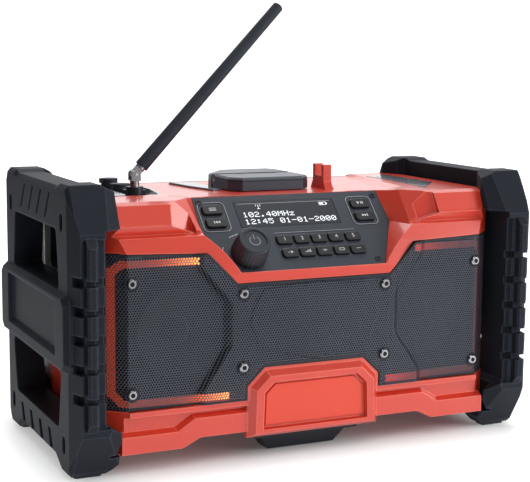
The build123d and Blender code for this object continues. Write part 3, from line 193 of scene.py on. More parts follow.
def plastic(name, base, rough=0.5, grain=1900.0, bump=0.12, vary=0.12, highlight_amount=0.35, radius=0.0007,
            metallic=0.0, spec=0.5, coat=0.0, scuff=0.25, dist=0.0002, highlight_color=None, tint=None, sharp=0.86):
    """Moulded or painted surface: fine grain, slow colour drift, faint scuffs and rounded edges carrying a painted
    highlight, a paler colour mixed in along them."""
    mt = bpy.data.materials.new(name)
    mt.use_nodes = True
    nt = mt.node_tree
    bs = nt.nodes["Principled BSDF"]
    L = nt.links.new
    tc = nt.nodes.new("ShaderNodeTexCoord")
    fine = nt.nodes.new("ShaderNodeTexNoise")
    fine.inputs["Scale"].default_value = grain
    fine.inputs["Detail"].default_value = 2.0
    L(tc.outputs["Object"], fine.inputs["Vector"])
    slow = nt.nodes.new("ShaderNodeTexNoise")
    slow.inputs["Scale"].default_value = 22.0
    slow.inputs["Detail"].default_value = 5.0
    L(tc.outputs["Object"], slow.inputs["Vector"])
    mp = nt.nodes.new("ShaderNodeMapping")
    mp.inputs["Scale"].default_value = (60.0, 60.0, 420.0)
    mp.inputs["Rotation"].default_value = (0.3, 0.5, 0.2)
    L(tc.outputs["Object"], mp.inputs["Vector"])
    scr = nt.nodes.new("ShaderNodeTexNoise")
    scr.inputs["Scale"].default_value = 1.0
    scr.inputs["Detail"].default_value = 4.0
    L(mp.outputs["Vector"], scr.inputs["Vector"])
    # colour drift
    mix = nt.nodes.new("ShaderNodeMix")
    mix.data_type = "RGBA"
    lo = [max(0.0, c * (1 - vary)) for c in base]
    hi = [min(1.0, c * (1 + vary)) for c in base]
    mix.inputs["A"].default_value = (*lo, 1)
    mix.inputs["B"].default_value = (*hi, 1)
    L(slow.outputs["Fac"], mix.inputs["Factor"])
    # edges: painted highlight, the paler highlight colour mixed in where the bevel normal bends away, broken up by
    # the scuff noise
    bev = nt.nodes.new("ShaderNodeBevel")
    bev.samples = 4
    bev.inputs["Radius"].default_value = radius
    geo = nt.nodes.new("ShaderNodeNewGeometry")
    dot = nt.nodes.new("ShaderNodeVectorMath")
    dot.operation = "DOT_PRODUCT"
    L(bev.outputs["Normal"], dot.inputs[0])
    L(geo.outputs["Normal"], dot.inputs[1])
    mr = nt.nodes.new("ShaderNodeMapRange")
    mr.inputs["From Min"].default_value = 0.995
    mr.inputs["From Max"].default_value = sharp
    mr.inputs["To Min"].default_value = 0.0
    mr.inputs["To Max"].default_value = highlight_amount
    L(dot.outputs["Value"], mr.inputs["Value"])
    mul = nt.nodes.new("ShaderNodeMath")
    mul.operation = "MULTIPLY"
    L(mr.outputs["Result"], mul.inputs[0])
    L(scr.outputs["Fac"], mul.inputs[1])
    highlight_mix = nt.nodes.new("ShaderNodeMix")
    highlight_mix.data_type = "RGBA"
    highlight_color = highlight_color or [min(1.0, c * 1.6 + 0.03) for c in base]
    highlight_mix.inputs["B"].default_value = (*highlight_color, 1)
    L(mix.outputs["Result"], highlight_mix.inputs["A"])
    L(mul.outputs["Value"], highlight_mix.inputs["Factor"])
    L(highlight_mix.outputs["Result"], bs.inputs["Base Color"])
    # roughness
    add = nt.nodes.new("ShaderNodeMath")
    add.operation = "MULTIPLY_ADD"
    add.inputs[1].default_value = scuff
    add.inputs[2].default_value = rough - scuff * 0.5
    L(scr.outputs["Fac"], add.inputs[0])
    L(add.outputs["Value"], bs.inputs["Roughness"])
    # bump
    bp = nt.nodes.new("ShaderNodeBump")
    bp.inputs["Strength"].default_value = bump
    bp.inputs["Distance"].default_value = dist
    L(fine.outputs["Fac"], bp.inputs["Height"])
    L(bev.outputs["Normal"], bp.inputs["Normal"])
    L(bp.outputs["Normal"], bs.inputs["Normal"])
    bs.inputs["Metallic"].default_value = metallic
    bs.inputs["Specular IOR Level"].default_value = spec
    if tint:
        bs.inputs["Specular Tint"].default_value = (*tint, 1)
    bs.inputs["Coat Weight"].default_value = coat
    bs.inputs["Coat Roughness"].default_value = 0.12
    return mt


def metal(name, base, rough=0.3, scale=(900, 900, 60), bump=0.08, radius=0.0003):
    mt = bpy.data.materials.new(name)
    mt.use_nodes = True
    nt = mt.node_tree
    bs = nt.nodes["Principled BSDF"]
    L = nt.links.new
    tc = nt.nodes.new("ShaderNodeTexCoord")
    mp = nt.nodes.new("ShaderNodeMapping")
    mp.inputs["Scale"].default_value = scale
    L(tc.outputs["Object"], mp.inputs["Vector"])
    nz = nt.nodes.new("ShaderNodeTexNoise")
    nz.inputs["Scale"].default_value = 1.0
    nz.inputs["Detail"].default_value = 3.0
    L(mp.outputs["Vector"], nz.inputs["Vector"])
    mr = nt.nodes.new("ShaderNodeMapRange")
    mr.inputs["To Min"].default_value = rough * 0.75
    mr.inputs["To Max"].default_value = rough * 1.3
    L(nz.outputs["Fac"], mr.inputs["Value"])
    L(mr.outputs["Result"], bs.inputs["Roughness"])
    mix = nt.nodes.new("ShaderNodeMix")
    mix.data_type = "RGBA"
    mix.inputs["A"].default_value = (*[c * 0.85 for c in base], 1)
    mix.inputs["B"].default_value = (*[min(1, c * 1.12) for c in base], 1)
    L(nz.outputs["Fac"], mix.inputs["Factor"])
    L(mix.outputs["Result"], bs.inputs["Base Color"])
    bev = nt.nodes.new("ShaderNodeBevel")
    bev.samples = 4
    bev.inputs["Radius"].default_value = radius
    bp = nt.nodes.new("ShaderNodeBump")
    bp.inputs["Strength"].default_value = bump
    bp.inputs["Distance"].default_value = 0.0001
    L(nz.outputs["Fac"], bp.inputs["Height"])
    L(bev.outputs["Normal"], bp.inputs["Normal"])
    L(bp.outputs["Normal"], bs.inputs["Normal"])
    bs.inputs["Metallic"].default_value = 1.0
    return mt


def glow_guide(name):
    """Acrylic light guide: brightest beside its lamps at the inner ends,
    orange on the left channel, red and dimmer on the right."""
    mt = bpy.data.materials.new(name)
    mt.use_nodes = True
    nt = mt.node_tree
    bs = nt.nodes["Principled BSDF"]
    L = nt.links.new
    tc = nt.nodes.new("ShaderNodeTexCoord")
    sx = nt.nodes.new("ShaderNodeSeparateXYZ")
    L(tc.outputs["Object"], sx.inputs[0])
    side = nt.nodes.new("ShaderNodeMapRange")
    side.inputs["From Min"].default_value = -0.02
    side.inputs["From Max"].default_value = 0.02
    side.inputs["To Min"].default_value = 0.0
    side.inputs["To Max"].default_value = 1.0
    L(sx.outputs["X"], side.inputs["Value"])
    ab = nt.nodes.new("ShaderNodeMath")
    ab.operation = "ABSOLUTE"
    L(sx.outputs["X"], ab.inputs[0])
    up = nt.nodes.new("ShaderNodeMath")
    up.operation = "GREATER_THAN"
    up.inputs[1].default_value = 0.110
    L(sx.outputs["Z"], up.inputs[0])
    st = nt.nodes.new("ShaderNodeMath")
    st.operation = "MULTIPLY_ADD"
    st.inputs[1].default_value = 0.027
    st.inputs[2].default_value = 0.076
    L(up.outputs["Value"], st.inputs[0])
    far = nt.nodes.new("ShaderNodeMath")
    far.operation = "SUBTRACT"
    L(ab.outputs["Value"], far.inputs[0])
    L(st.outputs["Value"], far.inputs[1])
    near = nt.nodes.new("ShaderNodeMapRange")
    near.inputs["From Min"].default_value = 0.0
    near.inputs["From Max"].default_value = 0.060
    near.inputs["To Min"].default_value = 1.0
    near.inputs["To Max"].default_value = 0.0
    L(far.outputs["Value"], near.inputs["Value"])
    pw = nt.nodes.new("ShaderNodeMath")
    pw.operation = "POWER"
    pw.inputs[1].default_value = 2.2
    L(near.outputs["Result"], pw.inputs[0])
    fall = nt.nodes.new("ShaderNodeMapRange")
    fall.inputs["To Min"].default_value = 0.13
    fall.inputs["To Max"].default_value = 1.0
    L(pw.outputs["Value"], fall.inputs["Value"])
    nz = nt.nodes.new("ShaderNodeTexNoise")
    nz.inputs["Scale"].default_value = 260.0
    L(tc.outputs["Object"], nz.inputs["Vector"])
    nr = nt.nodes.new("ShaderNodeMapRange")
    nr.inputs["To Min"].default_value = 0.75
    nr.inputs["To Max"].default_value = 1.25
    L(nz.outputs["Fac"], nr.inputs["Value"])
    k = nt.nodes.new("ShaderNodeMath")
    k.operation = "MULTIPLY"
    L(fall.outputs["Result"], k.inputs[0])
    L(nr.outputs["Result"], k.inputs[1])
    amp = nt.nodes.new("ShaderNodeMapRange")
    amp.inputs["To Min"].default_value = GLOW_LEFT
    amp.inputs["To Max"].default_value = GLOW_RIGHT
    L(side.outputs["Result"], amp.inputs["Value"])
    k2 = nt.nodes.new("ShaderNodeMath")
    k2.operation = "MULTIPLY"
    L(k.outputs["Value"], k2.inputs[0])
    L(amp.outputs["Result"], k2.inputs[1])
    hot = nt.nodes.new("ShaderNodeMapRange")
    hot.inputs["From Min"].default_value = 0.0
    hot.inputs["From Max"].default_value = 0.034
    L(far.outputs["Value"], hot.inputs["Value"])
    warm = nt.nodes.new("ShaderNodeMix")
    warm.data_type = "RGBA"
    warm.inputs["A"].default_value = (1.0, 0.34, 0.09, 1)
    warm.inputs["B"].default_value = (1.0, 0.10, 0.02, 1)
    L(hot.outputs["Result"], warm.inputs["Factor"])
    mix = nt.nodes.new("ShaderNodeMix")
    mix.data_type = "RGBA"
    mix.inputs["B"].default_value = (1.0, 0.045, 0.02, 1)
    L(warm.outputs["Result"], mix.inputs["A"])
    L(side.outputs["Result"], mix.inputs["Factor"])
    L(mix.outputs["Result"], bs.inputs["Emission Color"])
    L(k2.outputs["Value"], bs.inputs["Emission Strength"])
    bs.inputs["Base Color"].default_value = (0.16, 0.022, 0.012, 1)
    bs.inputs["Roughness"].default_value = 0.35
    return mt


def lit(name, color, strength):
    mt = bpy.data.materials.new(name)
    mt.use_nodes = True
    nt = mt.node_tree
    bs = nt.nodes["Principled BSDF"]
    tc = nt.nodes.new("ShaderNodeTexCoord")
    nz = nt.nodes.new("ShaderNodeTexNoise")
    nz.inputs["Scale"].default_value = 150.0
    nt.links.new(tc.outputs["Object"], nz.inputs["Vector"])
    mr = nt.nodes.new("ShaderNodeMapRange")
    mr.inputs["To Min"].default_value = strength * 0.8
    mr.inputs["To Max"].default_value = strength * 1.15
    nt.links.new(nz.outputs["Fac"], mr.inputs["Value"])
    nt.links.new(mr.outputs["Result"], bs.inputs["Emission Strength"])
    bs.inputs["Emission Color"].default_value = (*color, 1)
    bs.inputs["Base Color"].default_value = (*color, 1)
    bs.inputs["Roughness"].default_value = 0.6
    return mt


GLOW_LEFT, GLOW_RIGHT = 2.8, 1.15

COOL = (0.80, 0.88, 1.0)
M = {}
# highlight_color / highlight_amount below set the painted edge highlight of each material
M["red"] = plastic("red_plastic", (0.62, 0.040, 0.018), rough=0.36, bump=0.08, vary=0.05, highlight_amount=1.4, radius=0.0013, scuff=0.12, spec=0.46, coat=0.55, highlight_color=(1.0, 0.24, 0.17), sharp=0.955)
M["frame"] = plastic("frame_plastic", (0.0155, 0.0175, 0.0240), rough=0.55, bump=0.20, vary=0.14, highlight_amount=0.9, radius=0.0020, scuff=0.07, spec=0.11, highlight_color=(0.085, 0.097, 0.125), tint=COOL, sharp=0.93)
M["black"] = plastic("black_plastic", (0.012, 0.0135, 0.017), rough=0.46, bump=0.15, vary=0.15, highlight_amount=0.5, spec=0.4, tint=COOL)
M["fascia"] = plastic("fascia_plastic", (0.024, 0.028, 0.037), rough=0.46, bump=0.2, vary=0.12, highlight_amount=0.4, radius=0.0003, tint=COOL)
M["key"] = plastic("key_plastic", (0.007, 0.008, 0.010), rough=0.34, bump=0.08, vary=0.1, highlight_amount=0.7, radius=0.0004)
M["lid"] = plastic("lid_plastic", (0.034, 0.041, 0.055), rough=0.36, bump=0.2, vary=0.12, highlight_amount=0.9, radius=0.0008, scuff=0.12, spec=0.62, tint=COOL)
M["grille"] = plastic("grille_metal", (0.114, 0.126, 0.156), rough=0.36, bump=0.05, vary=0.1, highlight_amount=0.0, metallic=0.78, spec=0.5, scuff=0.08)
M["inlay"] = plastic("inlay_plastic", (0.075, 0.085, 0.108), rough=0.22, bump=0.05, vary=0.1, highlight_amount=0.6, radius=0.0008, scuff=0.10, spec=0.75, coat=0.5)
M["rubber"] = plastic("rubber", (0.014, 0.016, 0.022), rough=0.60, bump=0.25, vary=0.15, highlight_amount=0.3, grain=1500, spec=0.45, tint=COOL)
M["steel_dark"] = metal("dark_steel", (0.20, 0.20, 0.21), rough=0.34)
M["steel"] = metal("bright_steel", (0.62, 0.62, 0.63), rough=0.26)
M["chrome"] = metal("chrome", (0.42, 0.42, 0.44), rough=0.16, bump=0.02)
M["glow"] = glow_guide("amber_guide")
M["baffle"] = plastic("baffle_plastic", (0.010, 0.010, 0.011), rough=0.8, bump=0.2, vary=0.1, highlight_amount=0.1, spec=0.1)
M["knob"] = plastic("knob_rubber", (0.016, 0.018, 0.023), rough=0.42, bump=0.18, vary=0.12, highlight_amount=0.9, radius=0.0006, tint=COOL)
M["rim"] = plastic("grille_edge", (0.020, 0.022, 0.027), rough=0.46, bump=0.05, vary=0.1, highlight_amount=0.2, spec=0.35, tint=COOL)
# near-black: painted shade for the hex sockets of the grille screws
M["socket"] = plastic("socket_painted_shade", (0.004, 0.004, 0.005), rough=0.5, bump=0.05, vary=0.1, highlight_amount=0.0, spec=0.2)
M["screw"] = metal("screw_steel", (0.36, 0.36, 0.38), rough=0.24)
M["paper"] = plastic("cone_paper", (0.009, 0.009, 0.010), rough=0.8, grain=700, bump=0.5, highlight_amount=0.0)
M["magnet"] = plastic("magnet_iron", (0.10, 0.10, 0.10), rough=0.6, metallic=0.8, grain=900, bump=0.3)
M["board"] = plastic("board", (0.02, 0.12, 0.05), rough=0.35, grain=500, bump=0.2)
M["display"] = plastic("display_glass", (0.030, 0.033, 0.042), rough=0.22, bump=0.0, vary=0.05, highlight_amount=0.1, spec=0.35, coat=0.15, scuff=0.05)
M["print"] = plastic("print_white", (0.62, 0.63, 0.64), rough=0.5, bump=0.05, vary=0.06, highlight_amount=0.0)
M["print_line"] = plastic("print_line", (0.34, 0.36, 0.38), rough=0.5, bump=0.05, vary=0.06, highlight_amount=0.0)
M["print_dim"] = plastic("print_grey", (0.20, 0.21, 0.22), rough=0.5, bump=0.05, vary=0.06, highlight_amount=0.0)
M["lcd"] = lit("display_dots", (0.86, 0.90, 0.95), 0.75)
M["badge"] = plastic("badge_red", (0.70, 0.055, 0.022), rough=0.36, bump=0.06, vary=0.04, highlight_amount=0.2, scuff=0.10)

SLOT = {"red_plastic": "red", "frame_plastic": "frame", "black_plastic": "black", "fascia_plastic": "fascia",
        "key_plastic": "key", "lid_plastic": "lid", "grille_metal": "grille", "dark_steel": "steel_dark",
        "bright_steel": "steel", "chrome": "chrome", "rubber": "rubber", "amber_guide": "glow",
        "cone_paper": "paper", "magnet_iron": "magnet", "display_glass": "display", "board": "board"}


def paint(obj, mt):
    obj.data.materials.clear()
    obj.data.materials.append(mt)


slots = {s["node"]: s["material_slot"] for s in frame["record"]["subparts"]}
for name, obj in nodes.items():
    key = SLOT[slots[name]]
    if name == "badge_panel":
        key = "badge"
    if name == "top_inlays":
        key = "inlay"
    if name in ("speaker_baffle", "speaker_baskets"):
        key = "baffle"
    if name == "volume_knob":
        key = "knob"
    if name == "grille_screws":
        key = "screw"
    if name == "fascia_screws":
        key = "black"
    if len(obj.material_slots) == 0:
        obj.data.materials.append(M[key])
    for i in range(len(obj.material_slots)):
        obj.material_slots[i].link = "OBJECT"
        obj.material_slots[i].material = M[key]

# ------------------------------------------------------------------ mesh helpers


def make(name, verts, faces, mt, body="radio_body", smooth=False):
    me_ = bpy.data.meshes.new(name)
    me_.from_pydata([tuple(v) for v in verts], [], [tuple(f) for f in faces])
    me_.update()
    bm = bmesh.new()
    bm.from_mesh(me_)
    bmesh.ops.recalc_face_normals(bm, faces=bm.faces)
    bm.to_mesh(me_)
    bm.free()
    me_.materials.append(mt)
    for p_ in me_.polygons:
        p_.use_smooth = smooth
    o = bpy.data.objects.new(name, me_)
    scene.collection.objects.link(o)
    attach(o, body)
    return o


FAS_Y, FAS_Z = -100.5, 161.0


def fp(u, v, w):
    """Point on the slanted control panel: u across, v up the slope, w out."""
    return (u / 1000.0, (FAS_Y + (v - w) * S) / 1000.0, (FAS_Z + (v + w) * S) / 1000.0)


# ------------------------------------------------------------------ perforated grille
SEAT_X = 182.1
YG, YC, T = -98.0, -103.4, 1.2
MID_B = [(45.0, 108.0), (64.0, 108.0), (99.0, 83.0), (139.0, 83.0), (170.0, 109.5), (190.0, 109.5)]
MID_T = [(45.0, 100.5), (66.5, 100.5), (101.0, 76.5), (137.0, 76.5), (167.5, 102.0), (190.0, 102.0)]


def height(x, z):
    ax = np.abs(x)
    xb = np.interp(z, [p_[0] for p_ in MID_B], [p_[1] for p_ in MID_B])
    xt = np.interp(z, [p_[0] for p_ in MID_T], [p_[1] for p_ in MID_T])
    t = np.clip((xb - ax) / np.maximum(xb - xt, 1e-6), 0, 1)
    t = t * t * (3 - 2 * t) * 0.35 + t * 0.65
    y = YG + (YC - YG) * t
    xf = np.interp(z, [84.0, 96.0, 101.0, 120.0, 135.0, 147.0, 151.0], [0.0, 49.0, 54.5, 62.0, 58.0, 50.0, 0.0])
    q = np.clip((xf - ax) / 2.4, 0, 1)
    y = y - 1.1 * q * q * (3 - 2 * q)
    return np.where(ax > 165.4, YG + 0.875 * (ax - 165.4), y)


def outline(i):
    h = [(SEAT_X - i, 182.2 - i), (97.0 + 0.4 * i, 179.2 - i), (71.8 + 0.4 * i, 153.2 - i)]
    l = [(62.4 + i, 65.6 + 0.4 * i), (62.4 + i, 53.4 + i), (SEAT_X - i, 53.4 + i)]
    top = h + [(-x, z) for x, z in reversed(h)]
    low = [(-x, z) for x, z in reversed(l)] + [(-46.9 - 0.4 * i, 80.6 + i), (46.9 + 0.4 * i, 80.6 + i)] + l
    return top + low


def inside(px, pz, poly):
    ins = np.zeros(px.shape, bool)
    n = len(poly)
    for a in range(n):
        x1, z1 = poly[a]
        x2, z2 = poly[(a + 1) % n]
        c = ((z1 > pz) != (z2 > pz)) & (px < (x2 - x1) * (pz - z1) / ((z2 - z1) if z2 != z1 else 1e-9) + x1)
        ins ^= c
    return ins


PITCH, HOLE = 2.3, 1.0
screw_xz = [(sx * x, z) for x, z in ((162.3, 158.0), (162.3, 67.5), (66.9, 144.5), (66.9, 82.5)) for sx in (1, -1)]


def build_grille():
    rowh = PITCH * math.sqrt(3) / 2
    rows = int(132 / rowh) + 2
    cols = int(368 / PITCH) + 2
    cx, cz = [], []
    for r in range(rows):
        z = 52.0 + r * rowh
        for c in range(cols):
            x = (c - cols / 2.0) * PITCH + (PITCH / 2 if r % 2 else 0)
            cx.append(x)
            cz.append(z)
    cx, cz = np.array(cx), np.array(cz)
    ok = inside(cx, cz, outline(1.75))
    for sx, sz in screw_xz:
        ok &= np.hypot(cx - sx, cz - sz) > 5.6
    cx, cz = cx[ok], cz[ok]
    R = PITCH / math.sqrt(3)
    index, verts, faces = {}, [], []

    def vert(x, z, dy, shared=True):
        k_ = (round(x * 50), round(z * 50), dy)
        if shared and k_ in index:
            return index[k_]
        verts.append((x, z, dy))
        index[k_] = len(verts) - 1
        return index[k_]

    ang = [math.radians(30 + 60 * k_) for k_ in range(6)]
    for x, z in zip(cx, cz):
        o = [vert(x + R * math.cos(a), z + R * math.sin(a), 0) for a in ang]
        i = [vert(x + HOLE * math.cos(a), z + HOLE * math.sin(a), 0) for a in ang]
        b = [vert(x + HOLE * 0.98 * math.cos(a), z + HOLE * 0.98 * math.sin(a), 1) for a in ang]
        for k_ in range(6):
            n_ = (k_ + 1) % 6
            faces.append((o[k_], o[n_], i[n_], i[k_]))
            faces.append((i[k_], i[n_], b[n_], b[k_]))
    v = np.array(verts, float)
    y = height(v[:, 0], v[:, 1]) + v[:, 2] * 0.75 + 0.12
    pts = np.stack([v[:, 0], y, v[:, 1]], 1) / 1000.0
    return pts, faces


gp, gf = build_grille()
grille = make("grille_mesh", gp, gf, M["grille"])


def dense(poly, step=1.6):
    out = []
    n = len(poly)
    for a in range(n):
        x1, z1 = poly[a]
        x2, z2 = poly[(a + 1) % n]
        k_ = max(1, int(math.hypot(x2 - x1, z2 - z1) / step))
        for j in range(k_):
            out.append((a, j / k_))
    return out


def build_rim():
    """Pressed plain margin of the grille with a turned-back edge."""
    rings = [(0.45, 1.1), (0.45, 0.35), (0.6, 0.05), (0.9, -0.02), (2.0, -0.02), (2.2, 0.12), (2.3, 0.5)]
    base = outline(0.45)
    pos = dense(base)
    verts, faces = [], []
    for inset, dy in rings:
        poly = outline(inset)
        n = len(poly)
        for a, t in pos:
            x1, z1 = poly[a]
            x2, z2 = poly[(a + 1) % n]
            x, z = x1 + (x2 - x1) * t, z1 + (z2 - z1) * t
            verts.append((x / 1000, (float(height(np.array(x), np.array(z))) + dy) / 1000, z / 1000))
    k_ = len(pos)
    for r in range(len(rings) - 1):
        for j in range(k_):
            n_ = (j + 1) % k_
            faces.append((r * k_ + j, r * k_ + n_, (r + 1) * k_ + n_, (r + 1) * k_ + j))
    return verts, faces


rv, rf = build_rim()
rim = make("grille_margin", rv, rf, M["rim"], smooth=True)
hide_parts("speaker_grille")
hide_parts("speaker_grille")


def build_dimples():
    verts, faces = [], []
    prof_ = [(6.4, 0.0), (5.6, -0.02), (5.2, 0.15), (4.6, 0.75), (4.2, 0.95), (2.2, 0.95)]
    n = 28
    for sx, sz in screw_xz:
        base_ = len(verts)
        for r, dy in prof_:
            for k_ in range(n):
                a = 2 * math.pi * k_ / n
                x, z = sx + r * math.cos(a), sz + r * math.sin(a)
                y0 = float(height(np.array(sx), np.array(sz))) if r < 5.7 else float(height(np.array(x), np.array(z)))
                verts.append((x / 1000, (y0 + dy) / 1000, z / 1000))
        for r in range(len(prof_) - 1):
            for k_ in range(n):
                n_ = (k_ + 1) % n
                faces.append((base_ + r * n + k_, base_ + r * n + n_, base_ + (r + 1) * n + n_, base_ + (r + 1) * n + k_))
    return verts, faces


dv, df = build_dimples()
dimples = make("grille_screw_dimples", dv, df, M["rim"], smooth=True)
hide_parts("speaker_grille")

# hex sockets in the heads of the grille screws, drawn as flat near-black hexagons: painted shade standing in for the
# recess
verts, faces = [], []
for sx, sz in screw_xz:
    y0 = (YG if abs(sx) > 100 else YC) - 2.33
    b = len(verts)
    verts += [(( sx + 2.15 * math.cos(math.radians(60 * k_))) / 1000, y0 / 1000, (sz + 2.15 * math.sin(math.radians(60 * k_))) / 1000) for k_ in range(6)]
    faces.append(tuple(range(b, b + 6)))
sockets = make("grille_screw_socket_shade", verts, faces, M["socket"])

# ------------------------------------------------------------------ display dots
FONT = {
    "0": ["01110", "10001", "10011", "10101", "11001", "10001", "01110"],
    "1": ["00100", "01100", "00100", "00100", "00100", "00100", "01110"],
    "2": ["01110", "10001", "00001", "00110", "01000", "10000", "11111"],
    "3": ["11111", "00010", "00100", "00010", "00001", "10001", "01110"],
    "4": ["00010", "00110", "01010", "10010", "11111", "00010", "00010"],
    "5": ["11111", "10000", "11110", "00001", "00001", "10001", "01110"],
    "6": ["00110", "01000", "10000", "11110", "10001", "10001", "01110"],
    "7": ["11111", "00001", "00010", "00100", "01000", "01000", "01000"],
    "8": ["01110", "10001", "10001", "01110", "10001", "10001", "01110"],
    "9": ["01110", "10001", "10001", "01111", "00001", "00010", "01100"],
    ".": ["00000", "00000", "00000", "00000", "00000", "01100", "01100"],
    ":": ["00000", "01100", "01100", "00000", "01100", "01100", "00000"],
    "-": ["00000", "00000", "00000", "11111", "00000", "00000", "00000"],
    "M": ["10001", "11011", "10101", "10101", "10001", "10001", "10001"],
    "H": ["10001", "10001", "10001", "11111", "10001", "10001", "10001"],
    "z": ["00000", "00000", "11111", "00010", "00100", "01000", "11111"],
    " ": ["00000"] * 7,
}
GLASS_W = -0.1


def quad(verts, faces, u0, u1, v0, v1, w=GLASS_W + 0.03):
    b = len(verts)
    verts += [fp(u0, v0, w), fp(u1, v0, w), fp(u1, v1, w), fp(u0, v1, w)]
    faces.append((b, b + 1, b + 2, b + 3))


dv, df = [], []
PU, PV = 0.92, 0.78


def row(text, u0, vtop):
    for i, ch in enumerate(text):
        for r, line in enumerate(FONT[ch]):
            for c, bit in enumerate(line):
                if bit == "1":
                    u = u0 + (i * 6 + c) * PU
                    v = vtop - r * PV
                    quad(dv, df, u, u + PU * 0.86, v - PV * 0.86, v)


row("102.40MHz", -48.0, 63.2)
row("12:45 01-01-2000", -48.0, 55.6)
# battery outline, level bars and a small mast icon
for (a, b, c, d) in ((28, 35, 67.6, 67.95), (28, 35, 70.6, 70.95), (28, 28.35, 67.6, 70.95), (34.65, 35, 67.6, 70.95), (35, 35.9, 68.5, 70.0),
                     (28.8, 30.2, 68.3, 70.2), (30.7, 32.1, 68.3, 70.2), (-31.2, -30.8, 66.8, 70.8), (-32.4, -29.6, 66.5, 66.9),
                     (-33.2, -32.8, 69.2, 71.2), (-29.2, -28.8, 69.2, 71.2)):
    quad(dv, df, a, b, c, d)
dots = make("display_dots", dv, df, M["lcd"])

# ------------------------------------------------------------------ printed numerals and key symbols


def text_piece(name, body_text, u, v, w, size, body, mt=None):
    cu = bpy.data.curves.new(name, "FONT")
    cu.body = body_text
    cu.size = size
    cu.align_x = "CENTER"
    cu.align_y = "CENTER"
    cu.resolution_u = 4
    tmp = bpy.data.objects.new(name + "_t", cu)
    scene.collection.objects.link(tmp)
    bpy.context.view_layer.update()
    me_ = bpy.data.meshes.new_from_object(tmp)
    bpy.data.objects.remove(tmp)
    me_.name = name
    for vert_ in me_.vertices:
        x, y = vert_.co.x, vert_.co.y
        vert_.co = fp(u + x, v + y, w)
    me_.materials.clear()
    me_.materials.append(mt or M["print"])
    o = bpy.data.objects.new(name, me_)
    scene.collection.objects.link(o)
    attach(o, body)
    return o


for i in range(5):
    u = -18.6 + i * 16.5
    text_piece("numeral_%d" % (i + 1), str(i + 1), u, 31.2, 2.235, 5.2, "preset_button_%d_body" % (i + 1))


def icon(name, polys, u, v, w, body):
    verts, faces = [], []
    for poly in polys:
        b = len(verts)
        verts += [fp(u + a, v + b_, w) for a, b_ in poly]
        faces.append(tuple(range(b, b + len(poly))))
    return make(name, verts, faces, M["print"], body=body)


def rect(a, b, c, d):
    return [(a, c), (b, c), (b, d), (a, d)]


tri_r = [(-1.6, -1.5), (0.9, 0.0), (-1.6, 1.5)]
tri_l = [(1.6, -1.5), (-0.9, 0.0), (1.6, 1.5)]
icon("icon_play", [[(-3.0, -1.5), (-0.6, 0.0), (-3.0, 1.5)], rect(0.4, 1.2, -1.4, 1.4), rect(2.0, 2.8, -1.4, 1.4)], 67.3, 66.5, 2.435,
     "button_right_upper_body")
icon("icon_next", [[(-3.0, -1.4), (-0.7, 0.0), (-3.0, 1.4)], [(-0.5, -1.4), (1.8, 0.0), (-0.5, 1.4)], rect(2.0, 2.7, -1.4, 1.4)], 67.3, 52.4, 2.435,
     "button_right_lower_body")
icon("icon_prev", [[(3.0, -1.4), (0.7, 0.0), (3.0, 1.4)], [(0.5, -1.4), (-1.8, 0.0), (0.5, 1.4)], rect(-2.7, -2.0, -1.4, 1.4)], -75.0, 52.4, 2.435,
     "button_left_lower_body")
icon("icon_source", [rect(-3.2, 3.2, 1.0, 1.5), rect(-3.2, 3.2, -0.25, 0.25), rect(-3.2, 3.2, -1.5, -1.0)], -75.0, 66.3, 2.435,
     "button_left_upper_body")
fn_icons = [[rect(-2.6, -0.5, -0.2, 0.2), [(0.2, -1.3), (2.4, 0.0), (0.2, 1.3)]],
            [rect(-2.6, -1.9, -1.2, -0.2), rect(-1.1, -0.4, -1.2, 0.5), rect(0.4, 1.1, -1.2, 1.1), rect(1.9, 2.6, -1.2, 1.6)],
            [rect(-2.2, 2.2, -0.2, 0.2), rect(-0.2, 0.2, -1.4, 1.4)],
            [rect(-2.4, 2.4, -1.3, -0.9), rect(-2.4, 2.4, 0.9, 1.3), rect(-2.4, -2.0, -0.9, 0.9), rect(2.0, 2.4, -0.9, 0.9)],
            [rect(-2.2, 2.2, -0.2, 0.2)]]
for i, pl in enumerate(fn_icons):
    icon("icon_function_%d" % (i + 1), pl, -17.6 + 16.3 * i, 17.2, 2.235, "function_button_%d_body" % (i + 1))

# knob scale: short strokes round the volume knob
verts, faces = [], []


def stroke(u0, v0, u1, v1, wd=0.45, w=0.03):
    du, dv_ = u1 - u0, v1 - v0
    ln = math.hypot(du, dv_)
    nu, nv = -dv_ / ln * wd / 2, du / ln * wd / 2
    b = len(verts)
    verts.extend([fp(u0 + nu, v0 + nv, w), fp(u0 - nu, v0 - nv, w), fp(u1 - nu, v1 - nv, w), fp(u1 + nu, v1 + nv, w)])
    faces.append((b, b + 1, b + 2, b + 3))


stroke(-67.8, 37.5, -59.0, 40.6)
stroke(-79.0, 21.0, -76.0, 28.0)
scale_marks = make("knob_scale", verts, faces, M["print"])

# fine outlines round the side key pairs, and the line above the presets


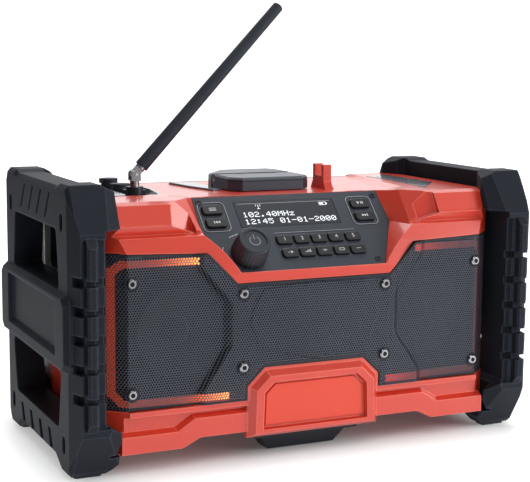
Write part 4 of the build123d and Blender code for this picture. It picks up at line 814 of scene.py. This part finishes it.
def outline_print(name, uc, hw, v0, v1, r, wd, w):
    vs_, fs_ = [], []
    n_ = 8
    cs = [(uc + hw - r, v1 - r, 0), (uc - hw + r, v1 - r, 90), (uc - hw + r, v0 + r, 180), (uc + hw - r, v0 + r, 270)]
    for (a, b, st) in cs:
        for k_ in range(n_ + 1):
            t = math.radians(st + 90.0 * k_ / n_)
            for rr in (r, r - wd):
                vs_.append(fp(a + rr * math.cos(t), b + rr * math.sin(t), w))
    m_ = len(vs_) // 2
    for j in range(m_):
        n2 = (j + 1) % m_
        fs_.append((2 * j, 2 * n2, 2 * n2 + 1, 2 * j + 1))
    return make(name, vs_, fs_, M["print_line"])


outline_print("outline_left", -75.0, 12.5, 43.7, 75.1, 4.9, 0.5, 0.475)
outline_print("outline_right", 67.3, 12.5, 43.7, 75.1, 4.9, 0.5, 0.475)
verts, faces = [], []
stroke(-26.0, 39.15, 51.5, 39.15, wd=0.4, w=0.375)
preset_line = make("preset_line", verts, faces, M["print_line"])
verts, faces = [], []
stroke(-50.0, 72.3, 39.2, 72.3, wd=0.45, w=-0.06)
display_line = make("display_line", verts, faces, M["print_line"])

# raised grip ribs round the knob's skirt
KU, KV = -56.0, 18.8
verts, faces = [], []
RIBS = 30
for k_ in range(RIBS):
    a = 2 * math.pi * (k_ + 0.5) / RIBS
    b = len(verts)
    for w, r0, hw, up in ((3.2, 15.33, 0.62, 0.0), (4.2, 15.23, 0.62, 0.34), (14.2, 14.26, 0.56, 0.34), (15.4, 14.15, 0.50, 0.0)):
        for off, out in ((-1.0, -0.25), (-0.55, up), (0.55, up), (1.0, -0.25)):
            r, t = r0 + out, off * hw
            verts.append(fp(KU + r * math.cos(a) - t * math.sin(a), KV + r * math.sin(a) + t * math.cos(a), w))
    for i in range(3):
        for j in range(3):
            faces.append((b + 4 * i + j, b + 4 * i + j + 1, b + 4 * i + j + 5, b + 4 * i + j + 4))
ribs = make("knob_grip_ribs", verts, faces, M["knob"], body="knob_body")

# power symbol in the finger dish of the knob
verts, faces = [], []
prev = None
for k_ in range(33):
    t = math.radians(125 + 290.0 * k_ / 32)
    a = len(verts)
    verts.append(fp(KU + 4.9 * math.cos(t), KV + 4.9 * math.sin(t), 19.14))
    verts.append(fp(KU + 4.1 * math.cos(t), KV + 4.1 * math.sin(t), 19.14))
    if k_:
        faces.append((a - 2, a, a + 1, a - 1))
stroke(KU, KV + 1.1, KU, KV + 6.4, wd=0.8, w=19.14)
power = make("icon_power", verts, faces, M["print_dim"], body="knob_body")
